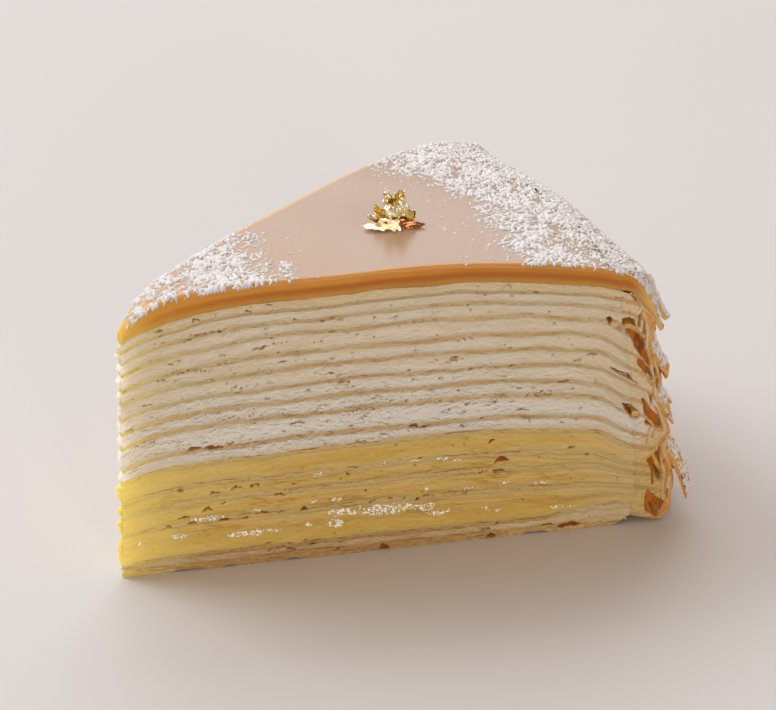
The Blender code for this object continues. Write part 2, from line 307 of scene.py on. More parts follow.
# ---------------------------------------------------------------- the cut faces
def outline(level, radius_change=0.0):
    """Distance along, radius, angle and way out of points round one level of the slice."""
    start, end = tip_radius(level), rim_radius(level) + radius_change
    out = start + (end - start) * np.linspace(0.0, 1.0, FACE_STEPS)
    rim = np.linspace(-HALF_ANGLE, HALF_ANGLE, RIM_STEPS + 2)[1:-1]
    blunt = np.linspace(HALF_ANGLE, -HALF_ANGLE, TIP_STEPS + 2)[1:-1]
    across_tip = start * math.cos(HALF_ANGLE) / np.cos(blunt)
    radius = np.concatenate([out, np.full(RIM_STEPS, end), out[::-1], across_tip])
    angle = np.concatenate([np.full(FACE_STEPS, -HALF_ANGLE), rim, np.full(FACE_STEPS, HALF_ANGLE), blunt])
    rim_length = RIM_RADIUS * 2.0 * HALF_ANGLE
    along = np.concatenate([
        out, RIM_RADIUS + (rim + HALF_ANGLE) * RIM_RADIUS, 2 * RIM_RADIUS + rim_length - out[::-1],
        2 * RIM_RADIUS + rim_length + np.linspace(0.0, 1.0, TIP_STEPS),
    ])
    sine, cosine = math.sin(HALF_ANGLE), math.cos(HALF_ANGLE)
    way = np.concatenate([
        np.tile((-sine, -cosine), (FACE_STEPS, 1)), np.stack([np.cos(rim), np.sin(rim)], -1),
        np.tile((-sine, cosine), (FACE_STEPS, 1)), np.tile((-1.0, 0.0), (TIP_STEPS, 1)),
    ])
    for _ in range(2):
        way = (np.roll(way, 1, axis=0) + way * 2.0 + np.roll(way, -1, axis=0)) / 4.0
    way /= np.linalg.norm(way, axis=1, keepdims=True)
    corner = np.zeros(len(along))
    for place in (FACE_STEPS - 0.5, FACE_STEPS + RIM_STEPS - 0.5, 2 * FACE_STEPS + RIM_STEPS + 1.0):
        gap = np.abs(np.arange(len(along)) - place)
        corner = np.maximum(corner, hill(np.minimum(gap, len(along) - gap), 1.6))
    return along, radius, angle, way, corner


# Tears in the near cut face: distance from the tip, height, half width, half height, depth
NEAR_TEARS = (
    (89.6, 38.2, 1.3, 0.22, 0.6), (70.6, 21.6, 0.8, 0.3, 0.7), (72.7, 17.1, 1.4, 0.5, 0.9),
    (15.4, 26.5, 1.4, 0.4, 0.8), (18.6, 26.2, 1.8, 0.35, 0.7), (55.5, 26.4, 1.2, 0.4, 0.7),
    (58.0, 26.2, 1.0, 0.3, 0.6), (63.5, 40.2, 1.3, 0.3, 0.6), (62.0, 39.7, 0.7, 0.25, 0.5),
    (12.5, 11.8, 1.0, 0.3, 0.6), (17.2, 13.0, 0.9, 0.4, 0.7), (27.3, 11.0, 1.6, 0.3, 0.6),
    (35.0, 10.9, 0.6, 0.45, 0.9), (22.5, 17.2, 1.2, 0.3, 0.7), (26.0, 17.2, 1.0, 0.28, 0.6),
    (50.2, 0.4, 1.1, 0.7, 1.0), (71.0, 0.5, 0.9, 0.5, 0.8), (86.0, 0.9, 2.2, 0.5, 0.9),
    (82.0, 1.6, 1.4, 0.25, 0.6), (30.0, 2.9, 1.6, 0.22, 0.7), (36.5, 2.8, 1.0, 0.2, 0.6),
)
# Small nicks in the near cut face: distance from the tip, height and half width
NEAR_NICKS = (
    (10.3, 49.5, 0.6), (14.7, 49.4, 1.0), (25.6, 54.2, 0.6), (21.0, 45.6, 0.8), (27.2, 46.2, 1.0),
    (28.5, 46.5, 0.6), (29.6, 48.1, 0.7), (11.3, 44.7, 0.7), (31.2, 45.4, 0.4), (31.3, 43.1, 1.1),
    (21.2, 39.8, 0.4), (22.6, 38.8, 0.8), (21.9, 38.0, 0.3), (29.5, 39.0, 0.8), (31.3, 39.3, 0.6),
    (13.0, 37.5, 0.4), (9.5, 41.6, 1.0), (12.3, 41.3, 0.6), (16.3, 53.4, 1.0), (40.2, 39.4, 1.1),
    (42.8, 37.5, 1.0), (41.0, 36.9, 0.5), (36.0, 36.4, 0.6), (44.5, 43.6, 0.3), (40.6, 42.8, 0.4),
    (35.8, 43.0, 0.3), (45.4, 47.3, 0.5), (38.9, 46.9, 0.3), (41.7, 50.8, 0.9), (38.8, 50.6, 0.5),
    (48.6, 50.4, 0.5), (52.5, 50.1, 0.7), (51.5, 52.7, 0.3), (40.8, 48.4, 0.7), (55.9, 43.6, 0.25),
    (55.6, 36.7, 0.5), (60.8, 36.3, 0.8), (61.2, 39.2, 0.3), (50.1, 40.1, 0.25), (54.8, 38.8, 0.4),
    (51.8, 37.3, 0.5), (38.5, 33.3, 0.9), (43.3, 33.2, 0.6), (48.2, 33.4, 0.6), (52.0, 34.1, 0.4),
    (50.8, 33.0, 0.5), (34.0, 29.8, 1.6), (31.5, 28.3, 0.5), (44.2, 28.2, 0.5), (46.3, 28.6, 0.5),
    (48.0, 28.6, 0.3), (61.3, 28.8, 0.6), (62.4, 29.4, 0.6), (49.7, 25.4, 0.7), (51.0, 25.2, 0.5),
    (60.3, 45.7, 0.3), (63.2, 39.6, 0.9), (64.4, 40.1, 0.5), (66.5, 37.4, 0.3), (74.3, 37.6, 0.5),
    (73.9, 41.5, 0.4), (82.2, 39.1, 0.4), (86.5, 39.5, 0.35), (83.4, 53.0, 0.3), (78.6, 52.5, 0.35),
    (73.9, 52.1, 0.35), (73.0, 54.3, 1.0), (69.2, 52.8, 0.3), (65.3, 44.4, 0.25), (64.2, 46.3, 0.35),
    (80.7, 48.0, 0.3), (82.0, 45.5, 0.4), (79.6, 31.2, 0.6), (81.4, 31.3, 0.7), (85.5, 31.2, 0.5),
    (84.0, 33.0, 1.3), (90.0, 32.4, 0.4), (64.4, 33.4, 0.5), (71.0, 30.0, 0.9), (66.0, 30.2, 0.8),
    (76.3, 27.9, 1.5), (75.5, 32.6, 0.6), (78.2, 32.3, 0.5), (71.4, 25.2, 0.6), (78.2, 25.2, 0.6),
    (68.7, 26.8, 0.6), (65.0, 25.4, 1.0), (85.6, 25.5, 0.4), (86.6, 24.2, 0.4), (86.5, 37.3, 0.8),
    (52.3, 22.9, 0.25), (53.7, 21.6, 0.3), (54.3, 21.1, 0.25), (61.3, 21.5, 0.25), (63.2, 21.5, 0.3),
    (65.3, 21.5, 0.25), (42.0, 16.8, 0.3), (43.5, 17.6, 0.25), (56.3, 18.0, 0.3), (57.8, 17.5, 0.25),
    (44.3, 14.3, 0.25), (46.7, 13.8, 0.3), (49.3, 13.6, 0.25), (42.5, 10.5, 0.3), (44.5, 10.6, 0.25),
    (63.5, 10.7, 0.3), (65.7, 10.7, 0.25), (75.6, 10.3, 0.35), (48.0, 11.0, 0.6), (51.0, 11.1, 0.8),
    (54.0, 11.0, 0.6), (58.0, 11.0, 0.7), (20.0, 10.4, 1.1), (23.5, 10.6, 0.8), (31.0, 10.7, 0.9),
    (9.5, 9.8, 0.9), (14.0, 10.2, 1.0), (18.5, 16.5, 1.1), (29.0, 2.3, 0.9), (32.5, 2.4, 1.0),
    (42.0, 2.6, 0.7), (69.0, 15.0, 1.0), (72.0, 14.9, 1.2), (33.0, 16.9, 0.5), (12.0, 17.6, 0.6),
    (77.0, 8.0, 0.4), (80.0, 17.0, 0.5),
)
# Hollows at the rim of the near cut face: their corners, as distance from the tip and height, and depth
HOLLOWS = (
    (((95.0, 45.2), (97.0, 44.6), (98.6, 39.8), (100.3, 35.2), (98.2, 38.2), (95.6, 43.3)), 3.0),
    (((97.9, 36.3), (99.3, 35.7), (100.6, 33.5), (100.9, 30.6), (99.8, 32.8), (98.6, 34.8)), 2.4),
    (((99.4, 27.4), (101.2, 24.6), (102.6, 23.6), (103.2, 20.8), (100.5, 22.1), (99.8, 25.4)), 3.0),
    (((102.5, 15.9), (100.9, 13.8), (102.0, 11.4), (103.6, 9.1), (103.0, 12.5)), 2.6),
    (((101.1, 7.0), (101.0, 2.8), (102.9, 1.3), (104.1, 4.2)), 3.6),
    (((95.6, 27.1), (97.5, 26.4), (98.9, 23.4), (97.2, 23.7)), 1.8),
    (((92.6, 34.9), (96.4, 33.3), (98.2, 31.1), (95.8, 32.7)), 1.2),
    (((91.7, 45.5), (92.4, 45.9), (93.0, 45.1), (92.5, 44.5)), 1.1),
    (((93.2, 50.2), (94.8, 49.9), (94.9, 49.6), (93.3, 49.8)), 0.9),
    (((96.8, 50.0), (97.4, 49.7), (97.5, 48.8), (97.0, 49.0)), 1.2),
)
# Where syrup has seeped out of the near cut face: middle, as distance from the tip and height, and half sizes
WET_PLACES = (
    (17.0, 11.2, 4.4, 0.7), (26.0, 11.8, 1.0, 0.5), (11.2, 7.8, 2.6, 0.7), (4.6, 7.1, 1.0, 0.6),
    (25.5, 7.0, 6.4, 0.8), (36.8, 12.6, 1.0, 0.6), (42.0, 9.5, 3.6, 0.9), (50.5, 9.1, 6.8, 1.4),
    (57.6, 8.7, 3.4, 1.0), (36.0, 7.6, 1.0, 0.5), (41.0, 7.2, 2.0, 1.0), (61.0, 7.3, 3.4, 0.8),
    (37.5, 18.2, 1.2, 0.5), (50.0, 19.3, 1.8, 0.5), (56.0, 19.1, 1.2, 0.4), (61.0, 18.9, 1.8, 0.5),
    (64.0, 18.4, 1.0, 0.4), (41.2, 12.5, 1.4, 0.5), (69.6, 7.0, 1.2, 0.7), (71.6, 6.3, 1.2, 0.5),
    (66.5, 12.0, 1.6, 0.4), (73.2, 12.0, 1.4, 0.6), (58.4, 12.8, 0.6, 0.4), (80.0, 11.4, 1.6, 0.4),
    (84.0, 5.6, 2.6, 0.5),
)
# Rows of small scallops, where cream has pulled away from a crepe: start, end, height, depth
NEAR_SCALLOPS = (
    (15.5, 24.5, 50.4, 0.45), (12.5, 18.5, 42.9, 0.5), (30.0, 33.5, 47.0, 0.45), (24.0, 27.0, 38.6, 0.45),
    (36.0, 39.0, 40.0, 0.4), (20.0, 26.0, 32.4, 0.4), (42.0, 50.0, 31.0, 0.4), (45.0, 52.0, 24.6, 0.35),
    (64.0, 67.0, 43.9, 0.4), (77.0, 80.5, 30.6, 0.35),
)
SCALLOP_SPACING = 0.85


def tear_list(sizes):
    """Every tear and pit in the cut faces: along, height, half width, half height, depth."""
    rng = np.random.default_rng(SEED)
    place, level, wide = np.array(NEAR_NICKS).T
    found = [np.array(NEAR_TEARS), np.stack([place, level, wide, 0.15 + 0.08 * wide, 0.4 + 0.2 * wide], -1)]
    for start, end, height, depth in NEAR_SCALLOPS:
        places = np.arange(start, end, SCALLOP_SPACING)
        count = len(places)
        found.append(np.stack([
            places + rng.uniform(-0.15, 0.15, count), height + rng.uniform(-0.15, 0.15, count),
            rng.uniform(0.25, 0.42, count), rng.uniform(0.18, 0.3, count), np.full(count, depth),
        ], -1))
    seams = np.cumsum([thickness for _, thickness in STACK])[:-1]
    count = int(sizes.tear_count)
    along = rng.uniform(0.0, WHOLE_LENGTH, count)
    height = rng.choice(seams, count) + rng.normal(0.0, 0.6, count)
    width = rng.gamma(1.8, 0.24, count) + 0.14
    known = (along < RIM_RADIUS) & (rng.uniform(0.0, 1.0, count) < 0.65)
    width = np.where(known, 0.08, width)
    tall, deep = rng.uniform(0.12, 0.26, count), rng.uniform(0.2, 0.6, count)
    found.append(np.stack([along, height, width, tall, deep], -1))
    return np.concatenate(found)


def soaked_through(along, height):
    """How wet each point of the cut faces is, from 0 to 1."""
    wet = np.zeros(along.shape)
    shake = rough(along / 1.2, height / 0.8, 2.0, SEED + 17, 2)
    for middle, level, long, tall in WET_PLACES:
        for place, high in ((middle, level), (WHOLE_LENGTH - 0.9 * middle - 6.0, level + 0.8)):
            gap = np.hypot((along - place) / long, (height - high) / tall)
            wet = np.maximum(wet, eased((1.15 - gap) / 0.5 + 0.5 * shake))
    return wet


def hollowed(radius, height, corners):
    """How far inside a hollow's outline each point is, in millimetres, and less than 0 outside it."""
    inside = np.zeros(radius.shape, bool)
    gap = np.full(radius.shape, 99.0)
    for (x0, y0), (x1, y1) in zip(corners, corners[1:] + corners[:1]):
        run, climb = x1 - x0, y1 - y0
        share = np.clip(((radius - x0) * run + (height - y0) * climb) / (run**2 + climb**2), 0.0, 1.0)
        gap = np.minimum(gap, np.hypot(radius - x0 - share * run, height - y0 - share * climb))
        crossed = (y0 > height) != (y1 > height)
        inside ^= crossed & (radius < x0 + (height - y0) * run / (climb or 1e-9))
    return np.where(inside, gap, -gap)


def hollow_depth(radius, height):
    """How deep the rim's hollows are at each point of the near cut face."""
    depth = np.zeros(radius.shape)
    x = radius + 0.3 * lumps(radius / 1.3, height / 1.3, 0.0, SEED + 15)
    y = height + 0.3 * lumps(radius / 1.3, height / 1.3, 4.0, SEED + 16)
    for corners, deep in HOLLOWS:
        depth = np.maximum(depth, eased((hollowed(x, y, corners) + 0.35) / 0.8) * deep)
    return depth


def torn(along, height, tears):
    """How deep the tears cut at each point, in millimetres."""
    depth = np.zeros(along.shape)
    shake_along = rough(along / 1.1, height / 0.8, 1.0, SEED + 5, 2) * 0.35
    shake_height = rough(along / 0.9, height / 0.9, 5.0, SEED + 6, 2) * 0.26
    for place, level, width, tall, deep in tears:
        columns = np.abs(along[:, 0] - place) < width * 2.2 + 0.4
        if not columns.any():
            continue
        x = (along[columns] + shake_along[columns] - place) / width
        y = (height[columns] + shake_height[columns] - level) / tall + 0.5 * min(width, 1.0) * (x * x - 0.5)
        pit = eased((1.3 - np.hypot(x, y)) / 0.7) * deep * (0.3 + 0.7 * eased((y + 0.7) / 1.2))
        depth[columns] = np.maximum(depth[columns], pit)
    return depth


def face_relief(kind, along, level, rise, height):
    """How far the cut face stands out of the knife's plane, before its tears."""
    stretched = rough(along / 3.4, level / 1.1, 0.0, SEED + 7)
    fine = rough(along / 0.9, level / 0.5, 0.0, SEED + 8, 2)
    arch = np.sin(np.pi * np.clip(rise, 0.0, 1.0)) ** 0.6
    near = along < RIM_RADIUS
    far = along > RIM_RADIUS * (1.0 + 2.0 * HALF_ANGLE)
    rim = ~near & ~far
    if kind == "crepe":
        relief = -0.06 + 0.07 * stretched + 0.03 * fine
        relief = relief + np.where(rim, 0.5 * rough(along / 2.5, level / 3.0, 0.0, SEED + 9), 0.0)
    elif kind == "cream":
        coarse = eased((height - 22.0) / 3.0) * eased((37.0 - height) / 3.0) * eased((64.0 - along) / 14.0)
        coarse = coarse * near + 0.5 * far
        relief = 0.06 * arch + 0.08 * stretched + (0.03 + 0.11 * coarse) * fine
        relief = relief + np.where(rim, 0.45 * arch + 0.35 * stretched, 0.0)
    else:
        relief = 0.08 * arch + 0.1 * stretched + 0.04 * fine
        relief = relief + np.where(rim, 0.3 * arch + 0.4 * stretched, 0.0)
    tip = np.exp(-np.minimum(along, np.abs(WHOLE_LENGTH - along)) / 1.4)
    own = 0.75 + 0.45 * lumps(level[:, :1] / 2.3, 0.0, 2.0, SEED + 12)
    bulge = {"cream": 0.8 * own * arch, "custard": 0.3 + 0.55 * own * arch}.get(kind, 0.1)
    return relief + tip * (bulge + 0.3 * rough(height / 1.4, 0.0, 7.0, SEED + 10, 2))


def filled_part(kind, seam, tears):
    """The slab of one layer: its walls in full detail, with plain surfaces between them."""
    middle = (seam_level(seam) + seam_level(seam + 1)) / 2.0
    rng = np.random.default_rng(SEED * 100 + seam)
    change = -rng.uniform(0.0, 0.7)
    along, radius, angle, way, corner = outline(middle, change)
    floor, ceiling = seam_height(radius, angle, seam), seam_height(radius, angle, seam + 1)
    rows = max(3, round((seam_level(seam + 1) - seam_level(seam)) / ROW_HEIGHT))
    rise = np.linspace(0.0, 1.0, rows + 1)[None, :]
    height = floor[:, None] + (ceiling - floor)[:, None] * rise
    level = seam_level(seam) + (seam_level(seam + 1) - seam_level(seam)) * rise + 0.0 * height
    along_all = along[:, None] + 0.0 * height
    depth = torn(along_all, height, tears)
    if seam_level(seam + 1) < GLAZE_FOOT:
        near_cut = slice(FACE_STEPS)
        depth[near_cut] = np.maximum(depth[near_cut], hollow_depth(along_all[near_cut], height[near_cut]))
    relief = face_relief(kind, along_all, level, rise + 0.0 * height, height) - depth - corner[:, None] * 0.12
    relief = np.maximum(relief, -(radius[:, None] * 0.3))
    x = (radius * np.cos(angle))[:, None] + way[:, :1] * relief
    y = (radius * np.sin(angle))[:, None] + way[:, 1:] * relief
    count = len(along)
    index = np.arange(count * (rows + 1)).reshape(count, rows + 1)
    faces = cells(np.concatenate([index, index[:1]])).tolist()
    near = np.arange(FACE_STEPS)
    across = 2 * FACE_STEPS + RIM_STEPS - 1 - near
    ladder = np.stack([near[:-1], near[1:], across[1:], across[:-1]], -1)
    rim_cap = list(range(FACE_STEPS - 1, FACE_STEPS + RIM_STEPS + 1))
    tip_cap = list(range(2 * FACE_STEPS + RIM_STEPS - 1, count)) + [0]
    for cap in (*ladder.tolist(), rim_cap, tip_cap):
        faces.append([int(index[i, -1]) for i in cap])
        faces.append([int(index[i, 0]) for i in reversed(cap)])
    points = np.stack([x, y, height], -1).reshape(-1, 3)
    laid = np.stack([along_all, level, seam * 3.0 + 0.0 * height], -1).reshape(-1, 3)
    # How deep a point lies in a tear or hollow; the materials paint shade by it.
    cavity = 0.5 * np.clip(depth / 0.4, 0.0, 1.0) + 0.5 * np.clip((depth - 1.0) / 2.5, 0.0, 1.0)
    wet = soaked_through(along_all, height) if kind != "cream" else 0.0 * height
    look = np.stack([rise + 0.0 * height, cavity, -wet], -1).reshape(-1, 3)
    return points, faces, laid, look


# ---------------------------------------------------------------- the hanging edges
def bezier(points, share):
    """Places on cubic curves, whose control points are radius and height, and the way out from them."""
    rest = 1.0 - share
    weights = np.stack([rest**3, 3 * rest**2 * share, 3 * rest * share**2, share**3], -1)
    slopes = np.stack([-(rest**2), rest * (rest - 2 * share), share * (2 * rest - share), share**2], -1)
    place = np.einsum("...k,...kc->...c", weights, points)
    heading = np.einsum("...k,...kc->...c", slopes, points)
    heading = heading / np.linalg.norm(heading, axis=-1, keepdims=True)
    return place, np.stack([-heading[..., 1], heading[..., 0]], -1)


def hanging_curves(radius, height, angle, shape):
    """Control points, as radius and height, of the hanging edge at each angle."""
    start = np.stack([radius + 0.0 * angle, height], -1)
    drop, flare, fullness = shape[:3]
    ragged = np.abs(steady_noise(angle * 16.0, height * 0.3, 5.1))
    drop = drop - HANGING_RAGGED * ragged * min(1.0, drop / 10.0)
    flare = flare + HANGING_WAVE * steady_noise(angle * 9.0, height * 0.2, 1.3)
    steps = (
        ((0.35 + 0.2 * fullness) * flare, -0.08 * drop),
        ((0.4 + 0.36 * fullness) * flare, -0.6 * drop),
        (flare, -drop),
    )
    offsets = np.stack([np.stack([out, down], -1) for out, down in steps], 1)
    return np.concatenate([start[:, None], start[:, None] + offsets], 1)


def ragged_end(angle, seed, drop):
    """What share of its run a hanging edge has at each angle: torn into tongues, whole at the cuts."""
    along = angle * RIM_RADIUS
    tongues = 0.12 * lumps(along / 3.1, seed * 1.7, 0.0, SEED + seed)
    tongues = tongues + 0.11 * lumps(along / 0.9, seed, 0.0, SEED + seed)
    notch = np.maximum(0.0, lumps(along / 2.3, seed * 0.9, 3.0, SEED + seed + 40) - 0.45) * 0.9
    whole = np.exp(-np.minimum(angle + HALF_ANGLE, HALF_ANGLE - angle) * RIM_RADIUS / 3.5)
    share = 1.0 - (0.14 + tongues + notch) * (1.0 - 0.6 * whole) * min(1.0, 4.0 / drop + 0.5)
    return np.clip(share, 0.35, 1.0)


def skirt_part(radius, height, angle, shape, seed):
    """A hanging edge as a thin ragged sheet. Gives its mesh and its outer surface."""
    drop, _, _, root, end = shape
    share = np.linspace(0.0, 1.0, SKIRT_ROWS)[:, None] * ragged_end(angle, seed, drop)[None, :]
    place, outward = bezier(hanging_curves(radius, height, angle, shape)[None], share)
    along = (angle * RIM_RADIUS)[None, :]
    waves = 0.75 * lumps(along / 4.2, share * 1.5, seed * 3.1, SEED + 50)
    waves = waves + 0.35 * lumps(along / 1.5, share * 3.0, seed, SEED + 51)
    swing = share**1.3 * waves * min(1.0, drop / 8.0)
    from_cut = RIM_RADIUS * np.minimum(angle + HALF_ANGLE, HALF_ANGLE - angle)[None, :]
    swing = swing + BILLOW * min(1.0, drop / 12.0) * eased(share * 2.0) * hill(from_cut - 3.6, 2.4)
    place = place + outward * swing[..., None]
    half = (root + (end - root) * share**0.7) / 2.0
    half = half * (1.0 + 0.3 * lumps(along / 1.6, share * 6.0, seed * 2.0, SEED + 52))
    tuck = np.stack([place[0, :, 0] - SKIRT_INSET, place[0, :, 1]], -1)[None]
    place = np.concatenate([tuck, place])
    outward = np.concatenate([outward[:1], outward])
    half = np.concatenate([half[:1], half])
    share = np.concatenate([share[:1] * 0.0, share])
    side = np.linspace(-1.0, 1.0, SKIRT_PLIES)
    spots = place[:, :, None] + outward[:, :, None] * (half[:, :, None] * side)[..., None]
    fray = 0.3 * share[:, [0, -1]] * lumps(share[:, [0, -1]] * 7.0, seed * 1.3, 0.0, SEED + 53)
    turn = angle[None, :] + 0.0 * share
    turn[:, 0] += fray[:, 0] / RIM_RADIUS
    turn[:, -1] += fray[:, 1] / RIM_RADIUS
    points = in_space(spots[..., 0], turn[..., None], spots[..., 1])
    used, faces = block(points)
    depth = share * drop
    laid = np.stack(np.broadcast_arrays(
        (RIM_RADIUS + along + HALF_ANGLE * RIM_RADIUS)[..., None] + 0.0 * depth[..., None], -depth[..., None],
        np.full(1, seed * 11.0) + 0.0 * side,
    ), -1)
    look = np.broadcast_arrays((side + 1.0) / 2.0, 0.0 * share[..., None], np.maximum(share, 0.02)[..., None])
    look = np.stack(look, -1)
    mesh = (points.reshape(-1, 3)[used], faces.tolist(), laid.reshape(-1, 3)[used], look.reshape(-1, 3)[used])
    return mesh, points[:, :, -1]


def fold_line():
    """The folds' outer line and the places where they leave the stack, evenly spaced down the rim."""
    corners = np.array(RIM_FOLDS)
    run = np.concatenate([[0.0], np.cumsum(np.hypot(*np.diff(corners[:, :2], axis=0).T))])
    even = np.linspace(0.0, run[-1], FOLD_ROWS)
    line = np.stack([np.interp(even, run, corners[:, part]) for part in range(3)], -1)
    for _ in range(10):
        line[1:-1] = (line[:-2] + line[1:-1] * 2.0 + line[2:]) / 4.0
    levels = np.linspace(0.0, GLAZE_FOOT, 60)
    stack_radius = np.array([rim_radius(level) for level in levels])
    side = np.array(-HALF_ANGLE)
    stack_height = np.array([float(sagged(np.array(r), side, v)) for r, v in zip(stack_radius, levels)])
    inner = np.interp(line[:, 2], stack_height, stack_radius)
    return line[:, 0], line[:, 1], inner, even, np.interp(line[:, 2], stack_height, levels)


def crepe_share(level):
    """Whether each level of the stack is in a crepe, from 0 to 1, and in the custard, from 0 to 1."""
    share, custard = np.zeros(level.shape), np.zeros(level.shape)
    for seam, (kind, thickness) in enumerate(STACK):
        gap = np.abs(level - seam_level(seam) - thickness / 2.0) - thickness / 2.0
        inside = eased(0.5 - gap / 0.5)
        if kind == "crepe":
            share = np.maximum(share, inside)
        if kind == "custard":
            custard = np.maximum(custard, eased(0.5 - gap))
    return share, custard


def fold_cut(outer, height, inner, level, near):
    """The cut through the folds: radius, height, how far it stands out, its look and its filling."""
    share = np.linspace(-0.35, 1.0, FOLD_CUT_STEPS)[None, :]
    width = (outer - inner)[:, None]
    radius = np.where(share > 0.0, inner[:, None] + width * share, inner[:, None] + FOLD_LAP * share / 0.35)
    within, level = np.maximum(share, 0.0), level[:, None]
    turn = np.array(-HALF_ANGLE if near else HALF_ANGLE)
    left = height[:, None] - sagged(outer[:, None] + 0.0 * share, turn, level)
    z = sagged(radius, turn, level) + left * within**1.5
    from_edge = (1.0 - within) * np.hypot(width, left)
    side = 0.0 if near else 40.0
    wander = rough(radius / 3.4, z / 8.0, side, SEED + 30, 2)
    hung = (1.0 + np.cos(2.0 * np.pi * (from_edge / 1.7 + 0.9 * wander))) / 2.0
    lines, custard = crepe_share(level + 0.7 * wander * within)
    turned = eased((share - 0.3 + 0.3 * rough(radius / 1.5, z / 3.0, side, SEED + 38, 2)) / 0.35)
    strands = (1.0 - lines) * (1.0 - turned) + hung * turned
    deep = hollow_depth(radius, z if near else z - 3.0)
    emerged = eased(share / 0.25)
    slits = rough(radius / 1.0, z / 4.4, side + 3.0, SEED + 31, 2)
    deep = deep + 0.8 * emerged * eased((slits - 0.62) / 0.25)
    edge = np.clip(1.0 - from_edge / 0.9, 0.0, 1.0)
    uneven = rough(radius / 2.0, z / 2.0, side, SEED + 32)
    stand = 0.06 + emerged * (0.08 + 0.25 * strands * within + 0.25 * hung * turned) - deep
    stand = stand + (0.06 + 0.16 * emerged) * uneven
    stand = stand - 0.7 * (1.0 - np.sqrt(1.0 - edge**2)) - 0.6 * eased(-share / 0.35)
    # How deep a point lies in a hollow; the materials paint shade by it.
    cavity = np.clip(deep / 3.0, 0.0, 1.0) ** 0.8
    patchy = 0.4 * rough(radius / 2.0, z / 4.0, side, SEED + 37, 2)
    golden = eased(share * 1.8 - 0.8 + 0.5 * (0.5 - strands) + patchy)
    look = np.stack([0.5 + 0.35 * strands, cavity, 0.12 * golden], -1)
    return radius, z, stand, look, 90.0 + 10.0 * custard * (1.0 - turned)


def rim_folds():
    """The mass of folded crepe round the rim: both of its cuts and the ruffled wall between them."""
    outer, height, inner, run, level = fold_line()
    columns = []
    for side in (-1.0, 1.0):
        radius, z, stand, look, filling = fold_cut(outer, height, inner, level, side < 0)
        angle = side * HALF_ANGLE
        x = radius * math.cos(angle) - math.sin(HALF_ANGLE) * stand
        y = radius * math.sin(angle) + side * math.cos(HALF_ANGLE) * stand
        along = radius if side < 0 else WHOLE_LENGTH - radius
        within = np.linspace(-0.35, 1.0, FOLD_CUT_STEPS)[None, :].clip(0.0)
        laid = np.stack([along, level[:, None] + (z - level[:, None]) * within, filling + 0.0 * z], -1)
        columns.append((np.stack([x, y, z], -1), look, laid))
    angle = np.linspace(-HALF_ANGLE, HALF_ANGLE, FOLD_RIM_STEPS + 2)[None, 1:-1]
    along = angle * RIM_RADIUS
    open_share = eased((HALF_ANGLE - np.abs(angle)) * RIM_RADIUS / 3.0)
    down = run[:, None] + 1.5 * lumps(along / 7.0, 0.0, 3.0, SEED + 33)
    ledge = (down / 3.1 + 0.8 * lumps(along / 9.0, down / 14.0, 2.0, SEED + 34)) % 1.0
    stand = 0.9 * lumps(along / 6.0, down / 7.0, 0.0, SEED + 35)
    stand = stand + 0.4 * lumps(along / 1.9, down / 4.0, 0.0, SEED + 36)
    stand = (stand + 0.9 * ledge**1.6 - 0.4) * open_share
    radius = outer[:, None] + stand * np.clip((height[:, None] - 0.2) / 2.0, 0.0, 1.0)
    z = height[:, None] + 0.0 * radius
    wall = in_space(radius, angle, z)
    look = np.stack([1.0 + 0.0 * z, 0.0 * z, np.minimum(1.0, 0.25 + 0.6 * ledge) + 0.0 * z], -1)
    laid = np.stack([RIM_RADIUS * (1.0 + HALF_ANGLE) + along + 0.0 * z, z, 90.0 + 0.0 * z], -1)
    strips = (columns[0], (wall, look, laid), tuple(part[:, ::-1] for part in columns[1]))
    points, look, laid = (np.concatenate([strip[part] for strip in strips], axis=1) for part in range(3))
    points[..., 2] = np.maximum(points[..., 2], 0.15)
    index = np.arange(points.shape[0] * points.shape[1]).reshape(points.shape[:2])
    return points.reshape(-1, 3), cells(index).tolist(), laid.reshape(-1, 3), look.reshape(-1, 3)


# ---------------------------------------------------------------- shader helpers
class Field:
    """A value that varies over a surface: one output of a shader node. Arithmetic with it adds nodes."""

    def __init__(self, socket):
        self.socket = socket

    def __add__(self, other):
        return maths("ADD", self, other)

    def __radd__(self, other):
        return maths("ADD", other, self)

    def __sub__(self, other):
        return maths("SUBTRACT", self, other)

    def __rsub__(self, other):
        return maths("SUBTRACT", other, self)

    def __mul__(self, other):
        return maths("MULTIPLY", self, other)

    def __truediv__(self, other):
        return maths("DIVIDE", self, other)

    def __rtruediv__(self, other):
        return maths("DIVIDE", other, self)

    def __abs__(self):
        return maths("ABSOLUTE", self)


class Outputs:
    """A node's outputs as fields, by name or number."""

    def __init__(self, node):
        self.node = node

    def __getitem__(self, key):
        return Field(self.node.outputs[key])


def tree_of(*values):
    """The node tree that the first field among these values belongs to."""
    return next(value.socket.id_data for value in values if isinstance(value, Field))


def fill(socket, value):
    """Joins a node's input to a field, or sets it to a plain value."""
    if isinstance(value, Field):
        socket.id_data.links.new(value.socket, socket)
    else:
        socket.default_value = value


def add(tree, kind, inputs=(), **settings):
    """A shader node with its settings made, and its inputs set or joined to fields. Gives its outputs."""
    made = tree.nodes.new("ShaderNode" + kind)
    for key, value in settings.items():
        setattr(made, key, value)
    for key, value in dict(inputs).items():
        fill(made.inputs[key], value)
    return Outputs(made)


def maths(operation, *values):
    return add(tree_of(*values), "Math", enumerate(values), operation=operation)[0]


def larger(one, other):
    return maths("MAXIMUM", one, other)


def clamped(field):
    """The same field, kept between 0 and 1 by the node that makes it."""
    field.socket.node.use_clamp = True
    return field


def stepped(value, low, high, start=0.0, end=1.0):
    """Rises smoothly from start to end while value goes from low to high."""
    limits = {"Value": value, "From Min": low, "From Max": high, "To Min": start, "To Max": end}
    return add(tree_of(value), "MapRange", limits, interpolation_type="SMOOTHSTEP")["Result"]


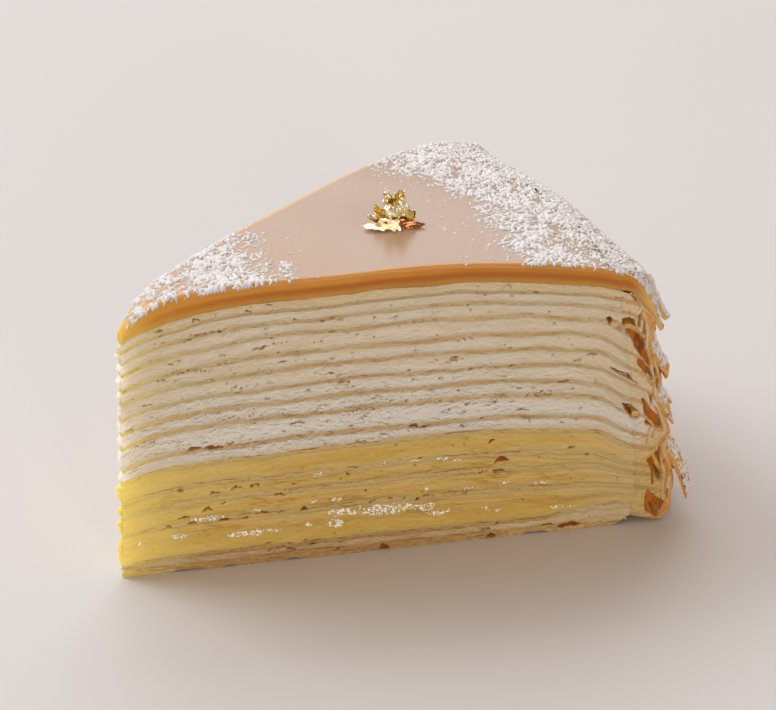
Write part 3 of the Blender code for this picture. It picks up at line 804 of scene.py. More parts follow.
def mixed(factor, one, other):
    """One colour, turning into the other where the factor rises to 1."""
    pair = {
        number: colour if isinstance(colour, Field) else (*colour[:3], 1.0)
        for number, colour in ((6, one), (7, other))
    }
    return add(tree_of(factor), "Mix", {0: factor, **pair}, data_type="RGBA", blend_type="MIX")[2]


def scaled(vector, x, y, z):
    """A vector with each of its parts multiplied."""
    return add(tree_of(vector), "VectorMath", {0: vector, 1: (x, y, z)}, operation="MULTIPLY")[0]


def moved(vector, x, y):
    return add(tree_of(vector), "VectorMath", {0: vector, 1: (x, y, 0.0)}, operation="ADD")[0]


def parts_of(vector):
    """The three parts of a vector."""
    split = add(tree_of(vector), "SeparateXYZ", {0: vector})
    return [split[axis] for axis in range(3)]


def noise_of(vector, scale, detail=2.0, roughness=0.5, distortion=0.0):
    inputs = {"Scale": scale, "Detail": detail, "Roughness": roughness, "Distortion": distortion}
    return add(tree_of(vector), "TexNoise", {"Vector": vector, **inputs})["Fac"]


def place_in_mm(tree):
    return scaled(add(tree, "NewGeometry")["Position"], 1000.0, 1000.0, 1000.0)


def new_group(name, inputs, outputs):
    """An empty node group. An input is a number with a default, or a vector where that is None."""
    tree = bpy.data.node_groups.new(name, "ShaderNodeTree")
    for label, default in inputs.items():
        kind = "NodeSocketVector" if default is None else "NodeSocketFloat"
        socket = tree.interface.new_socket(label, in_out="INPUT", socket_type=kind)
        if default is not None:
            socket.default_value = default
    for label in outputs:
        tree.interface.new_socket(label, in_out="OUTPUT", socket_type="NodeSocketFloat")
    return tree, Outputs(tree.nodes.new("NodeGroupInput")), tree.nodes.new("NodeGroupOutput").inputs


def use_group(tree, name, inputs):
    made = tree.nodes.new("ShaderNodeGroup")
    made.node_tree = bpy.data.node_groups[name]
    for key, value in inputs.items():
        fill(made.inputs[key], value)
    return Outputs(made)


def specks_on(vector, spacing, size):
    return use_group(tree_of(vector), "Specks", {"Vector": vector, "Spacing": spacing, "Size": size})["Mask"]


def cut_face(vector, stretch, cracks, flecks):
    inputs = {"Vector": vector, "Stretch": stretch, "Cracks": cracks, "Flecks": flecks}
    return use_group(tree_of(vector), "Cut face", inputs)


def tip_glow(tree, reach):
    return use_group(tree, "Tip glow", {"Reach": reach})["Glow"]


def specks_group():
    """Vanilla specks: small dark dots, scattered and of uneven size."""
    tree, given, out = new_group("Specks", {"Vector": None, "Spacing": 1.8, "Size": 0.12}, ["Mask"])
    scale = 1.0 / given["Spacing"]
    cell = add(tree, "TexVoronoi", {"Vector": given["Vector"], "Scale": scale})
    pick = add(tree, "SeparateColor", {0: cell["Color"]})[0]
    limit = given["Size"] * stepped(pick, 0.35, 1.0, 0.0, 1.6) * scale
    fill(out["Mask"], clamped((limit - cell["Distance"]) / (limit * 0.4 + 0.0001)))


def cut_face_group():
    """What a knife leaves on a cut face: thin cracks, small pits, bright flecks and drag marks, and painted
    light and shade from above on its crumbs (Lit and Shaded).
    """
    tree, given, out = new_group(
        "Cut face", {"Vector": None, "Stretch": 2.0, "Cracks": 0.5, "Flecks": 0.5},
        ["Cracks", "Flecks", "Height", "Lit", "Shaded"],
    )
    x, y, _ = parts_of(given["Vector"])
    across = x / given["Stretch"]
    flat = add(tree, "CombineXYZ", {0: across, 1: y, 2: 0.0})[0]
    wander = noise_of(flat, 1.25, 2.0, 0.5, 0.25)
    line = stepped(abs(wander - 0.5), 0.03, 0.006)
    patchy = noise_of(moved(flat, 7.3, 3.1), 0.55, 2.0)
    limit = 0.72 - given["Cracks"] * 0.2
    cracks = line * stepped(patchy - limit, 0.0, 0.06)
    pits = stepped(noise_of(flat, 1.7, 3.0, 0.6, 0.5), 0.71, 0.75)
    cracks = larger(cracks, pits * 0.8)
    spread = 0.7 - given["Flecks"] * 0.12
    grit = noise_of(scaled(given["Vector"], 1.3, 1.8, 0.0), 1.0, 3.0, 0.7, 0.3)
    flecks = stepped(grit - spread, 0.0, 0.05)
    grain = noise_of(flat, 3.3, 3.0, 0.62)
    drag = noise_of(scaled(flat, 0.35, 2.2, 1.0), 1.0, 2.0)
    height = grain * 0.7 + drag * 0.5 - cracks * 0.9 + flecks * 0.6
    # Painted light and shade: the crumbs' noise less the same noise a little lower lights their tops and
    # shades their undersides.
    fuzzy = scaled(given["Vector"], 0.62, 1.25, 0.0)
    lower = moved(fuzzy, 0.0, -0.3)
    crumbs, under = (noise_of(spot, 1.0, 4.0, 0.62, 0.2) for spot in (fuzzy, lower))
    light_from_above = (crumbs - under) * 7.0
    fill(out["Lit"], clamped(light_from_above - 0.2))
    fill(out["Shaded"], clamped(light_from_above * -1.0 - 0.2))
    fill(out["Cracks"], cracks)
    fill(out["Flecks"], flecks)
    fill(out["Height"], height)


def tip_glow_group():
    """How much light comes through the thin tip of the slice: 1 at the tip, fading away from it."""
    tree, given, out = new_group("Tip glow", {"Reach": 14.0}, ["Glow"])
    spot = add(tree, "NewGeometry")["Position"]
    x, y, _ = parts_of(spot)
    out_x = x * 1000.0 - TIP_X
    out_y = y * 1000.0
    distance = maths("SQRT", out_x * out_x + out_y * out_y)
    uneven = noise_of(scaled(spot, 1000.0, 1000.0, 1000.0), 0.2, 2.0)
    distance = larger(distance + (uneven - 0.5) * 5.0 - 1.5, 0.0)
    fill(out["Glow"], maths("POWER", 0.37, distance / given["Reach"]))


def new_material(name, **values):
    """A material with its Principled shader, its tree, and the attributes that the meshes carry."""
    made = bpy.data.materials.new(name)
    made.use_nodes = True
    tree = made.node_tree
    shader = tree.nodes["Principled BSDF"]
    for key, value in values.items():
        shader.inputs[key.replace("_", " ")].default_value = value
    laid, look = (add(tree, "Attribute", attribute_name=kind)["Vector"] for kind in ("laid", "look"))
    return made, tree, shader, laid, parts_of(look)


def subsurface(shader, weight, radius, scale=MM):
    for key, value in (("Weight", weight), ("Radius", radius), ("Scale", scale)):
        shader.inputs["Subsurface " + key].default_value = value


def finish_surface(shader, colour, roughness=None, height=None, distance=0.1 * MM, strength=1.0):
    fill(shader.inputs["Base Color"], colour)
    if roughness is not None:
        fill(shader.inputs["Roughness"], roughness)
    if height is not None:
        bump = add(tree_of(height), "Bump", {"Height": height, "Distance": distance, "Strength": strength})
        fill(shader.inputs["Normal"], bump[0])


def coated(colour, *coats):
    """A colour with others laid over it in turn, each as strongly as the field that comes with it."""
    for strength, coat in coats:
        colour = mixed(strength, colour, coat)
    return colour


def cavity_shade_coats(depth, colours):
    """Coats that brown and darken the inside of tears and hollows, more deeply the deeper they are: painted
    shade.
    """
    return (
        (stepped(depth, 0.05, 0.45, 0.0, 0.95), colours.rust_and_shade),
        (stepped(depth, 0.5, 1.0, 0.0, 0.9), colours.hollow),
    )


def glow_through(shader, glow, tint, strength, sparkle=None):
    """Paints light on as emission: the thin tip shines as if lit from behind, and drops of syrup with the
    light they would catch.
    """
    if sparkle is not None:
        tint = mixed(sparkle, tint, (1.0, 0.95, 0.85))
    fill(shader.inputs["Emission Color"], mixed(glow, (0.0, 0.0, 0.0), tint))
    shader.inputs["Emission Strength"].default_value = strength


def linear(colour):
    """A colour picked on a display, in the renderer's own numbers."""
    return tuple(c / 12.92 if c <= 0.04045 else ((c + 0.055) / 1.055) ** 2.4 for c in colour)


# ---------------------------------------------------------------- materials
def cream_material(colours):
    made, tree, shader, laid, look = new_material("vanilla cream", Roughness=0.42, IOR=1.45)
    subsurface(shader, 0.6, (1.8, 1.3, 0.8), 0.8 * MM)
    along, level, _ = parts_of(laid)
    low = stepped(level, 23.0, 27.0) * stepped(level, 46.0, 31.0)
    low = low * stepped(along, 96.0, 55.0, 0.25, 1.0)
    open_texture = noise_of(scaled(laid, 0.13, 0.3, 0.0), 1.0, 2.0)
    open_texture = stepped(open_texture, 0.3, 0.6) * low
    face = cut_face(laid, 1.9, 0.3 + open_texture * 0.5, 0.25 + open_texture * 0.75)
    specks = specks_on(laid, 2.2, 0.15)
    fine_specks = specks_on(laid, 1.2, 0.07)
    glow = tip_glow(tree, 2.3) * stepped(level, 3.0, 20.0)
    tone = noise_of(scaled(laid, 0.1, 0.45, 0.0), 1.0, 3.0, 0.6)
    band = stepped(level, 25.0, 26.5) * stepped(level, 33.0, 29.5)
    edge = abs(look[0] - 0.5)
    blend = noise_of(scaled(laid, 0.5, 0.8, 1.0), 1.0, 3.0, 0.6)
    soaked = stepped(edge, 0.2, 0.52) * stepped(blend, 0.3, 0.65, 0.3, 1.0)
    base = stepped(level, 5.0, 3.0)
    shaded_foot = stepped(along, 8.0, 16.0) * stepped(along, 78.0, 55.0)
    rim = stepped(along, 72.0, 98.0) * (0.5 - band * 0.4)
    # Painted light through the tip: a warm tint, and a yellow one on the cream beside the crepes.
    warm_glow = tip_glow(tree, 6.0) * stepped(blend, 0.3, 0.6, 0.3, 0.65)
    yellow = tip_glow(tree, 5.0) * soaked
    crumbly = stepped(open_texture, 0.0, 1.0, 0.4, 1.5)
    dots = larger(specks, fine_specks * 0.7)
    crumbs = noise_of(scaled(laid, 1.1, 2.6, 0.0), 1.0, 3.0, 0.6, 0.3)
    broken = larger(stepped(crumbs, 0.42, 0.54, 0.2, 0.9), stepped(look[1], 0.5, 0.6))
    colour = coated(
        colours.cream,
        (stepped(tone, 0.35, 0.65), colours.cream_shade),
        (low * 0.6, colours.cream_white),
        (band * 0.75, colours.cream_white),
        (soaked * 0.75, colours.crepe_pale),
        (base * 0.6, colours.streak),
        # Painted shade low on the cut face, between the tip and the rim.
        (base * shaded_foot * 0.35, colours.torn),
        (stepped(level, 54.0, 55.4, 0.0, 0.6), colours.crepe_soaked),
        (rim, colours.crepe_pale),
        (warm_glow, colours.streak),
        (yellow * stepped(level, 62.0, 30.0, 0.8, 0.5), colours.glow),
        (glow * 0.95, colours.glow_cream),
        # Painted light and shade from the cut face: lit crumbs whitened, shaded ones darkened, flecks
        # whitened as glints.
        (face["Lit"] * crumbly, colours.highlight_white),
        (face["Shaded"] * crumbly * 0.45, colours.crack_and_shade),
        (face["Flecks"] * 0.6, colours.highlight_white),
        (face["Cracks"] * 0.85, colours.crack_and_shade),
        (dots * 0.6, colours.speck),
        # Painted shade in tears and hollows, deeper where they are deeper.
        (stepped(look[1], 0.05, 0.45) * broken, colours.crack_and_shade),
        (stepped(look[1], 0.5, 1.0, 0.0, 0.9), colours.hollow),
    )
    roughness = stepped(face["Flecks"], 0.0, 1.0, 0.44, 0.14)
    finish_surface(shader, colour, roughness, face["Height"], 0.26 * MM, 1.0)
    # Painted glints: the bright flecks where the cream is open also glow.
    sparkle = face["Flecks"] * open_texture
    glow_through(shader, larger(glow, sparkle), colours.glow_cream, 0.25, sparkle)
    return made


def custard_material(colours):
    made, tree, shader, laid, look = new_material("custard", Roughness=0.3, IOR=1.45)
    subsurface(shader, 0.6, (2.4, 1.4, 0.45), 1.0 * MM)
    along, level, _ = parts_of(laid)
    face = cut_face(laid, 2.2, 0.3, 0.0)
    specks = specks_on(laid, 2.8, 0.17)
    glow = tip_glow(tree, 6.5)
    tone = noise_of(scaled(laid, 0.08, 0.35, 0.0), 1.0, 2.0)
    low = stepped(level, 9.0, 3.5)
    edge = abs(look[0] - 0.5)
    leafy = stepped(level, 6.0, 9.0) * stepped(level, 20.5, 18.0)
    layered = noise_of(scaled(laid, 0.075, 0.55, 0.0), 1.0, 3.0, 0.6, 0.35)
    streak = stepped(layered, 0.46, 0.58) * (0.1 + leafy)
    crease = stepped(abs(layered - 0.47), 0.035, 0.0)
    crease = crease * leafy * stepped(tone, 0.45, 0.6)
    rim = stepped(along, 80.0, 99.0) * 0.4
    wet, beads = wet_beads(laid, look[2])
    colour = coated(
        colours.custard,
        (stepped(tone, 0.3, 0.7), colours.custard_deep),
        (low * 0.5, colours.custard_bright),
        (stepped(edge, 0.3, 0.52, 0.0, 0.5), colours.crepe_soaked),
        (streak * 0.7, colours.streak),
        (crease * 0.5, colours.rust_and_shade),
        # Painted light and shade from the cut face: lit crumbs brightened, shaded ones darkened.
        (face["Lit"] * 0.3, colours.custard_bright),
        (face["Shaded"] * 0.25, colours.rust_and_shade),
        (rim, colours.crepe_pale),
        (glow * 0.8, colours.glow),
        # Painted glints on the drops of syrup.
        (beads * 0.85, colours.highlight_white),
        (face["Cracks"] * 0.7, colours.rust_and_shade),
        (specks * 0.6, colours.speck),
        *cavity_shade_coats(look[1], colours),
    )
    roughness = stepped(wet, 0.0, 1.0, 0.36, 0.12)
    height = face["Height"] * 0.6 + beads * 1.2 + layered * leafy * 4.0
    finish_surface(shader, colour, roughness, height, 0.24 * MM, 0.9)
    # Painted light given off as emission: the tip's glow and glints on the drops of syrup.
    glow_through(shader, larger(glow, beads), colours.glow, 0.25, beads)
    return made


def wet_beads(laid, wetness):
    """Where syrup has seeped out under a crepe: a mask of the wet places, and of the drops in them."""
    wet = clamped(wetness * -1.0)
    beads = 0.0
    for spread, share in (((1.9, 2.1, 0.0), 0.72), ((1.2, 2.3, 0.0), 0.55), ((3.4, 3.3, 0.0), 0.6)):
        cell = add(tree_of(laid), "TexVoronoi", {"Vector": scaled(laid, *spread), "Scale": 1.0})
        pick = add(tree_of(laid), "SeparateColor", {0: cell["Color"]})[0]
        size = stepped(pick, 0.25, 0.8, 0.0, share) * wet
        drop = clamped((size - cell["Distance"]) * 6.0)
        beads = larger(beads, drop)
    return wet, beads


def crepe_material(colours):
    made, tree, shader, laid, look = new_material("crepe", Roughness=0.5, IOR=1.45)
    subsurface(shader, 0.45, (2.0, 1.2, 0.5), 0.8 * MM)
    along, level, filling = parts_of(laid)
    folded = stepped(filling, 80.0, 85.0)
    face = cut_face(laid, 2.4, stepped(level, 24.0, 26.0, 0.5, 0.85) - folded * 0.8, 0.3)
    specks = specks_on(laid, 1.7, 0.12)
    glow = tip_glow(tree, 5.5) * stepped(level, 1.0, 6.0, 0.55, 1.0)
    fade = noise_of(scaled(laid, 0.12, 0.3, 1.0), 1.0, 3.0, 0.6)
    fuzz = noise_of(scaled(laid, 0.7, 1.4, 1.0), 1.0, 3.0, 0.65)
    off_core = abs(look[0] - 0.5) + (fuzz - 0.5) * 0.7
    line = stepped(off_core, 0.6, 0.0) * stepped(fade, 0.35, 0.62, 0.25, 1.0)
    orange = stepped(noise_of(scaled(laid, 0.1, 0.2, 2.0), 1.0, 2.0), 0.58, 0.68, 0.0, 0.5)
    soaked = stepped(level, 27.0, 25.0) * 0.85
    ragged = look[0] + (fuzz - 0.5) * 0.9
    brown_edge = stepped(ragged, 0.55, 0.85) * stepped(fade, 0.5, 0.58)
    drenched = mixed(stepped(fuzz, 0.35, 0.65), colours.crepe_soaked, colours.streak)
    in_custard = mixed(brown_edge * 0.8, drenched, colours.rust_and_shade)
    base = stepped(level, 4.6, 3.6)
    shaded_foot = stepped(along, 8.0, 16.0) * stepped(along, 78.0, 55.0)
    rolled = stepped(along, 79.0, 90.0, 0.0, 0.6) * stepped(level, 0.8, 1.6)
    foot = coated(
        colours.crepe_base,
        (stepped(fuzz, 0.35, 0.65), colours.crepe_soaked),
        (brown_edge * 0.9, colours.browned),
        # Painted shade low on the cut face, between the tip and the rim.
        (shaded_foot * 0.4, colours.torn),
        (rolled, colours.cream_shade),
    )
    mottle = noise_of(scaled(laid, 0.5, 0.35, 1.0), 1.0, 4.0, 0.65, 0.4)
    yellow = mixed(stepped(mottle, 0.4, 0.6, 0.1, 0.6), colours.custard_deep, colours.crepe_pale)
    seeped = stepped(level, 24.5, 20.0, 0.0, 0.8) * stepped(level, 3.0, 6.0)
    seeped = seeped * stepped(along, 105.0, 101.5, 0.3, 1.0)
    white = stepped(level, 25.0, 26.5) * stepped(level, 33.0, 29.5, 0.0, 0.6)
    fold = coated(
        colours.cream_shade,
        (stepped(fuzz, 0.3, 0.7), colours.crepe_pale),
        (stepped(filling, 91.0, 98.0), yellow),
        (seeped, yellow),
        (white * stepped(along, 103.0, 99.5), colours.cream_white),
        (stepped(look[0], 0.8, 0.55, 0.0, 0.8), colours.crepe),
    )
    hung = stepped(look[2], 0.0, 0.12)
    toasted = mottle + folded * 0.12
    inner = stepped(look[0], 0.5, 0.1)
    skin = coated(
        colours.skin,
        (stepped(toasted, 0.35, 0.68), colours.golden),
        (stepped(mottle, 0.58, 0.75, 0.0, 0.6), colours.browned),
        (stepped(look[2], 0.55, 1.0, 0.0, 0.35), colours.browned),
        (inner * 0.6, colours.underside),
    )
    # Tints for painted light and shade on the cut face's crumbs; the second also colours its cracks.
    lit_crumb_tint = mixed(soaked, colours.crepe_pale, colours.custard_bright)
    crack_and_shade = mixed(soaked, colours.torn, colours.rust_and_shade)
    wet, beads = wet_beads(laid, look[2])
    colour = coated(
        colours.crepe_pale,
        (line, colours.crepe),
        (orange * line, colours.golden),
        (soaked, in_custard),
        (base * 0.9, foot),
        (folded, fold),
        (hung, skin),
        (glow * 0.75, colours.glow),
        # Painted light and shade from the cut face, and flecks and drops of syrup whitened as glints.
        (face["Lit"] * 0.4, lit_crumb_tint),
        (face["Shaded"] * 0.45, crack_and_shade),
        (face["Flecks"] * 0.35, colours.highlight_white),
        (beads * 0.85, colours.highlight_white),
        (face["Cracks"] * 0.6, crack_and_shade),
        (specks * 0.4, colours.speck),
        *cavity_shade_coats(look[1], colours),
    )
    wrinkles = noise_of(scaled(laid, 1.6, 0.5, 1.0), 1.0, 3.0)
    height = face["Height"] + wrinkles + beads
    roughness = stepped(wet, 0.0, 1.0, 0.5, 0.15)
    finish_surface(shader, colour, roughness, height, 0.2 * MM, 0.9)
    # Painted light given off as emission: the tip's glow, glints on drops of syrup, and light in the rim's
    # hollows as if through thin crepe.
    thin = stepped(look[1], 0.12, 0.75) * folded
    thin = thin * stepped(mottle, 0.37, 0.58, 0.1, 1.0)
    light = larger(larger(glow, beads), thin)
    tint = mixed(thin, colours.glow, colours.through)
    glow_through(shader, light, tint, 0.25, beads)
    return made


def glaze_material(colours):
    made, tree, shader, laid, look = new_material("caramel glaze", Roughness=0.28, IOR=1.45)
    rounded = abs(look[1])
    coat = stepped(look[0], 0.93, 1.0, 0.1, 1.0) * stepped(rounded, 0.3, 0.9, 1.0, 0.35)
    fill(shader.inputs["Coat Weight"], coat)
    shader.inputs["Coat Roughness"].default_value = 0.27
    shader.inputs["Coat IOR"].default_value = 1.5
    shader.inputs["Specular IOR Level"].default_value = 0.1
    subsurface(shader, 0.5, (2.2, 1.1, 0.4), 1.6 * MM)
    glow = tip_glow(tree, 3.0)
    tone = noise_of(scaled(laid, 0.09, 0.4, 0.0), 1.0, 3.0)
    out, _, _ = parts_of(laid)
    darker = stepped(out, 50.0, 68.0, 0.0, 0.4) * stepped(look[0], 0.4, 0.7)
    darker = darker * stepped(look[0], 0.97, 0.93)
    # Painted glow along the far cut's rounded edge, as if lit from behind.
    far_edge_glow = stepped(look[0], 0.9, 1.0) * stepped(look[1], 0.2, 0.9, 0.0, 0.75)
    near_edge = stepped(look[0], 0.9, 1.0) * stepped(look[1], -0.35, -0.95, 0.0, 0.75)
    wide_glow = tip_glow(tree, 13.0)
    bubbles = specks_on(laid, 6.0, 0.16)
    colour = coated(
        colours.glaze_deep,
        (stepped(look[0], 0.58, 0.8), colours.glaze),
        (stepped(look[0], 0.5, 0.1), colours.glaze_foot),
        (darker, colours.glaze_deep),
        (stepped(tone, 0.35, 0.75, 0.0, 0.35), colours.glaze_deep),
        # The top surface: partly painted reflection of the pale surroundings.
        (stepped(look[0], 0.96, 1.0), colours.glaze_top),
        (far_edge_glow, colours.skin),
        (near_edge, colours.glaze),
        (stepped(look[2], 0.1, 0.6, 0.0, 0.8), colours.skin),
        (wide_glow * 0.75, colours.glaze_glow),
        (glow * 0.9, colours.glow),
        (bubbles * 0.6, colours.browned),
    )
    ripple = noise_of(scaled(laid, 0.1, 0.1, 0.0), 1.0, 2.0)
    finish_surface(shader, colour, None, ripple, 0.1 * MM, 0.15)
    glow_through(shader, glow, colours.glow, 0.2)
    return made


def leaf_material(colours):
    made, tree, shader, laid, _ = new_material("gold leaf", Metallic=1.0, Roughness=0.14)
    spot = place_in_mm(tree)
    tone = noise_of(spot, 0.45, 2.0, 0.5)
    creases = noise_of(spot, 0.9, 3.0, 0.55, 0.6)
    highlighted, dark, _ = parts_of(laid)
    # Painted highlights on the pale patches and flaps, painted shade in the creases and on the dark flap.
    patches = highlighted * stepped(tone, 0.36, 0.44)
    colour = coated(
        colours.gold,
        (stepped(tone, 0.38, 0.54), colours.gold_highlight),
        (stepped(creases, 0.47, 0.36, 0.0, 0.9), colours.gold_crease_shade),
        (patches * 0.9, colours.gold_highlight),
        (dark * 0.9, colours.hollow),
    )
    roughness = stepped(noise_of(spot, 1.7, 2.0), 0.3, 0.7, 0.08, 0.26)
    height = noise_of(spot, 1.3, 2.0, 0.5)
    finish_surface(shader, colour, roughness, height, 0.2 * MM, 0.25)
    # Painted highlight: the pale patches also glow.
    glow_through(shader, patches * stepped(creases, 0.42, 0.5), colours.gold_highlight, 0.3)
    return made


def sugar_material(colours):
    made, tree, shader, _, _ = new_material("icing sugar", Roughness=0.85, IOR=1.45)
    subsurface(shader, 0.4, (1.0, 0.95, 0.9), 0.35 * MM)
    spot = place_in_mm(tree)
    tone = noise_of(spot, 1.4, 3.0, 0.6)
    colour = mixed(stepped(tone, 0.35, 0.7), colours.sugar, colours.sugar_shade)
    grain = noise_of(spot, 5.0, 3.0, 0.7)
    finish_surface(shader, colour, None, grain, 0.12 * MM, 0.8)
    return made


def floor_material(colours):
    made, tree, shader, _, _ = new_material("pale table", Roughness=0.6)
    shader.inputs["Specular IOR Level"].default_value = 0.1
    spot = add(tree, "NewGeometry")["Position"]
    tone = noise_of(spot, 3.0, 2.0)
    colour = mixed(stepped(tone, 0.2, 0.8), colours.floor, colours.floor_shade)
    finish_surface(shader, colour)
    return made


# ---------------------------------------------------------------- the glaze
def glaze_top(radius, angle):
    """How high the glaze's upper surface lies inside the rim."""
    run = GLAZE_TIP_RUN * hill(radius, GLAZE_TIP_REACH)
    return sagged(radius, angle, STACK_HEIGHT - 0.15) - run


def crowded(share):
    """Even shares of the way across the glaze, moved closer together near its two edges."""
    return share - 0.12 * np.sin(2.0 * np.pi * share)


def glaze_lattice(sizes):
    """The glaze as a lattice of points: out from the tip and over the rim, across the slice, and up."""
    share = np.linspace(0.0, 1.0, GLAZE_COLUMNS)
    angle = HALF_ANGLE * (2.0 * crowded(share) - 1.0)
    seam = len(STACK) - 1
    middle = STACK_HEIGHT - GLAZE_THICKNESS / 2.0
    start, end = tip_radius(middle), rim_radius(middle)
    out = np.linspace(0.0, 1.0, GLAZE_STEPS)
    radius = (start + (end - start) * out)[:, None] + 0.0 * angle
    turn = angle[None, :] + 0.0 * radius
    top, bottom = glaze_top(radius, turn), seam_height(radius, turn, seam)
    from_cut = radius * np.sin(HALF_ANGLE - np.abs(turn))
    edge = sizes.glaze_edge * (1.0 + GLAZE_TIP_DROOP * hill(radius, 24.0))
    inset = np.clip(1.0 - from_cut / edge, 0.0, 1.0)
    top = top - edge * (1.0 - np.sqrt(1.0 - inset**2))
    rise = np.linspace(0.0, 1.0, GLAZE_ROWS + 1)
    height = bottom[..., None] + (top - bottom)[..., None] * rise
    radius = radius[..., None] + 0.0 * rise
    shape = HANGING["glaze"]
    last_top, last_bottom = glaze_top(end, angle), seam_height(end, angle, seam)
    curves = hanging_curves(end, (last_top + last_bottom) / 2.0, angle, shape)
    from_end = (HALF_ANGLE - np.abs(angle)) * RIM_RADIUS
    reach = np.minimum(ragged_end(angle, 3, shape[0]) + 0.12, 1.0)
    for gap, torn_back, wide in ((1.5, 0.4, 0.45), (4.4, 0.3, 0.6), (7.6, 0.25, 0.7)):
        reach = reach * (1.0 - torn_back * hill(from_end - gap, wide))
    run = np.linspace(0.0, 1.0, SKIRT_ROWS)[1:, None] * reach
    place, outward = bezier(curves[None], run)
    along = angle * RIM_RADIUS
    waves = 0.6 * lumps(along / 4.2, run * 1.5, 9.0, SEED) + 0.3 * lumps(along / 1.6, run * 3.0, 9.0, SEED)
    swing = run**1.3 * waves
    swing = swing + GLAZE_BILLOW * eased(run * 2.5) * eased(from_end / 3.0) * np.exp(-from_end / 9.0)
    place = place + outward * swing[..., None]
    half = ((last_top - last_bottom) * (1.0 - run) ** 1.8 + GLAZE_LIP * run) / 2.0
    spots = place[:, :, None] + outward[:, :, None] * (half[..., None] * (2.0 * rise - 1.0))[..., None]
    radius = np.concatenate([radius, spots[..., 0]])
    height = np.concatenate([height, spots[..., 1]])
    turn = angle[None, :, None] + 0.0 * radius
    points = in_space(radius, turn, height)
    arch = np.sin(np.pi * rise) ** 0.7
    for column, side in ((0, -1.0), (-1, 1.0)):
        run_out = radius[:, column]
        bulge = 0.12 * arch + 0.08 * lumps(run_out / 3.0, rise * 2.0, side * 5.0, SEED + 60)
        bulge = bulge * eased((run_out - 2.0) / 5.0)
        points[:, column, :, 0] -= math.sin(HALF_ANGLE) * bulge
        points[:, column, :, 1] += side * math.cos(HALF_ANGLE) * bulge
    hung = np.concatenate([np.zeros((GLAZE_STEPS, GLAZE_COLUMNS)), run])
    return points, rise, hung


GLAZE_GRID = 0.25  # spacing of the table of the glaze's height, out from the tip


def glaze_outside(points):
    """The glaze's outer height on a regular grid of radius and column, with nothing past its edge."""
    top = points[:, :, -1]
    radius = np.hypot(top[..., 0], top[..., 1])
    reach = np.arange(0.0, radius.max() + GLAZE_GRID, GLAZE_GRID)
    table = np.full((len(reach), top.shape[1]), np.nan)
    for column in range(top.shape[1]):
        out = np.maximum.accumulate(radius[:, column])
        table[:, column] = np.interp(reach, out, top[:, column, 2], left=np.nan, right=np.nan)
    return table


# ---------------------------------------------------------------- icing sugar
def stamped(shape, spacing, places, radii, bases):
    """A height field of overlapping round grains on a flat grid, negative where there is none."""
    field = np.full(shape, -1.0)
    for (x, y), size, base in zip(places, radii, bases):
        reach = int(size / spacing) + 1
        i, j = int(round(x / spacing)), int(round(y / spacing))
        low_i, low_j = max(0, i - reach), max(0, j - reach)
        high_i, high_j = min(shape[0], i + reach + 1), min(shape[1], j + reach + 1)
        if low_i >= high_i or low_j >= high_j:
            continue
        gap_x = (np.arange(low_i, high_i) * spacing - x)[:, None]
        gap_y = (np.arange(low_j, high_j) * spacing - y)[None, :]
        inside = 1.0 - (gap_x**2 + gap_y**2) / size**2
        cap = np.where(inside > 0.0, base + size * 0.8 * np.sqrt(np.maximum(inside, 0.0)), -1.0)
        part = field[low_i:high_i, low_j:high_j]
        np.maximum(part, cap, out=part)
    return field


def crust(points, field, rng):
    """Sugar standing on a surface: the cells of the grid where the height field is above nothing."""
    along_i, along_j = np.gradient(points, axis=0), np.gradient(points, axis=1)
    way = np.cross(along_i, along_j)
    way /= np.linalg.norm(way, axis=-1, keepdims=True) + 1e-9
    way *= np.sign(way[..., 2:].sum() + 1e-9) if abs(way[..., 2].mean()) > 0.3 else 1.0
    bare = field < 0.0
    lift = np.where(bare, -0.1, field + 0.04 * rng.uniform(-1.0, 1.0, field.shape))
    raised = points + way * lift[..., None]
    index = np.arange(field.size).reshape(field.shape)
    faces = cells(index)
    kept = (~bare.ravel()[faces]).any(axis=1) & np.isfinite(raised.reshape(-1, 3)[faces].sum(axis=(1, 2)))
    used, faces = np.unique(faces[kept], return_inverse=True)
    return raised.reshape(-1, 3)[used], faces.reshape(-1, 4).tolist()


def sugar_cover(x, y):
    """How thickly each place on top of the slice is dusted, from 0 to 1."""
    edge = np.interp(y, (-30, -20, -10, 0, 10, 20, 30), (70.5, 70.5, 71.5, 75.0, 73.0, 67.5, 64.0))
    rim = eased((x - edge + 2.5 + 2.0 * lumps(x / 4.0, y / 4.0, 0.0, SEED + 70)) / 11.0)
    corner = eased((x - 78.0) / 8.0) * eased((-y - 14.0) / 10.0)
    rim = rim * (1.0 - 0.5 * corner)
    tip = eased((37.0 - x + 2.0 * lumps(x / 3.0, y / 3.0, 1.0, SEED + 71)) / 13.0) * eased((x - 3.0) / 4.0)
    strays = 0.02 * eased((x - edge + 12.0) / 8.0) + 0.015 * eased((42.0 - x) / 8.0)
    clumps = 0.62 + 0.55 * rough(x / 1.9, y / 1.9, 2.0, SEED + 72, 2)
    return np.maximum(np.maximum(rim, tip * 0.95) * clumps, strays)


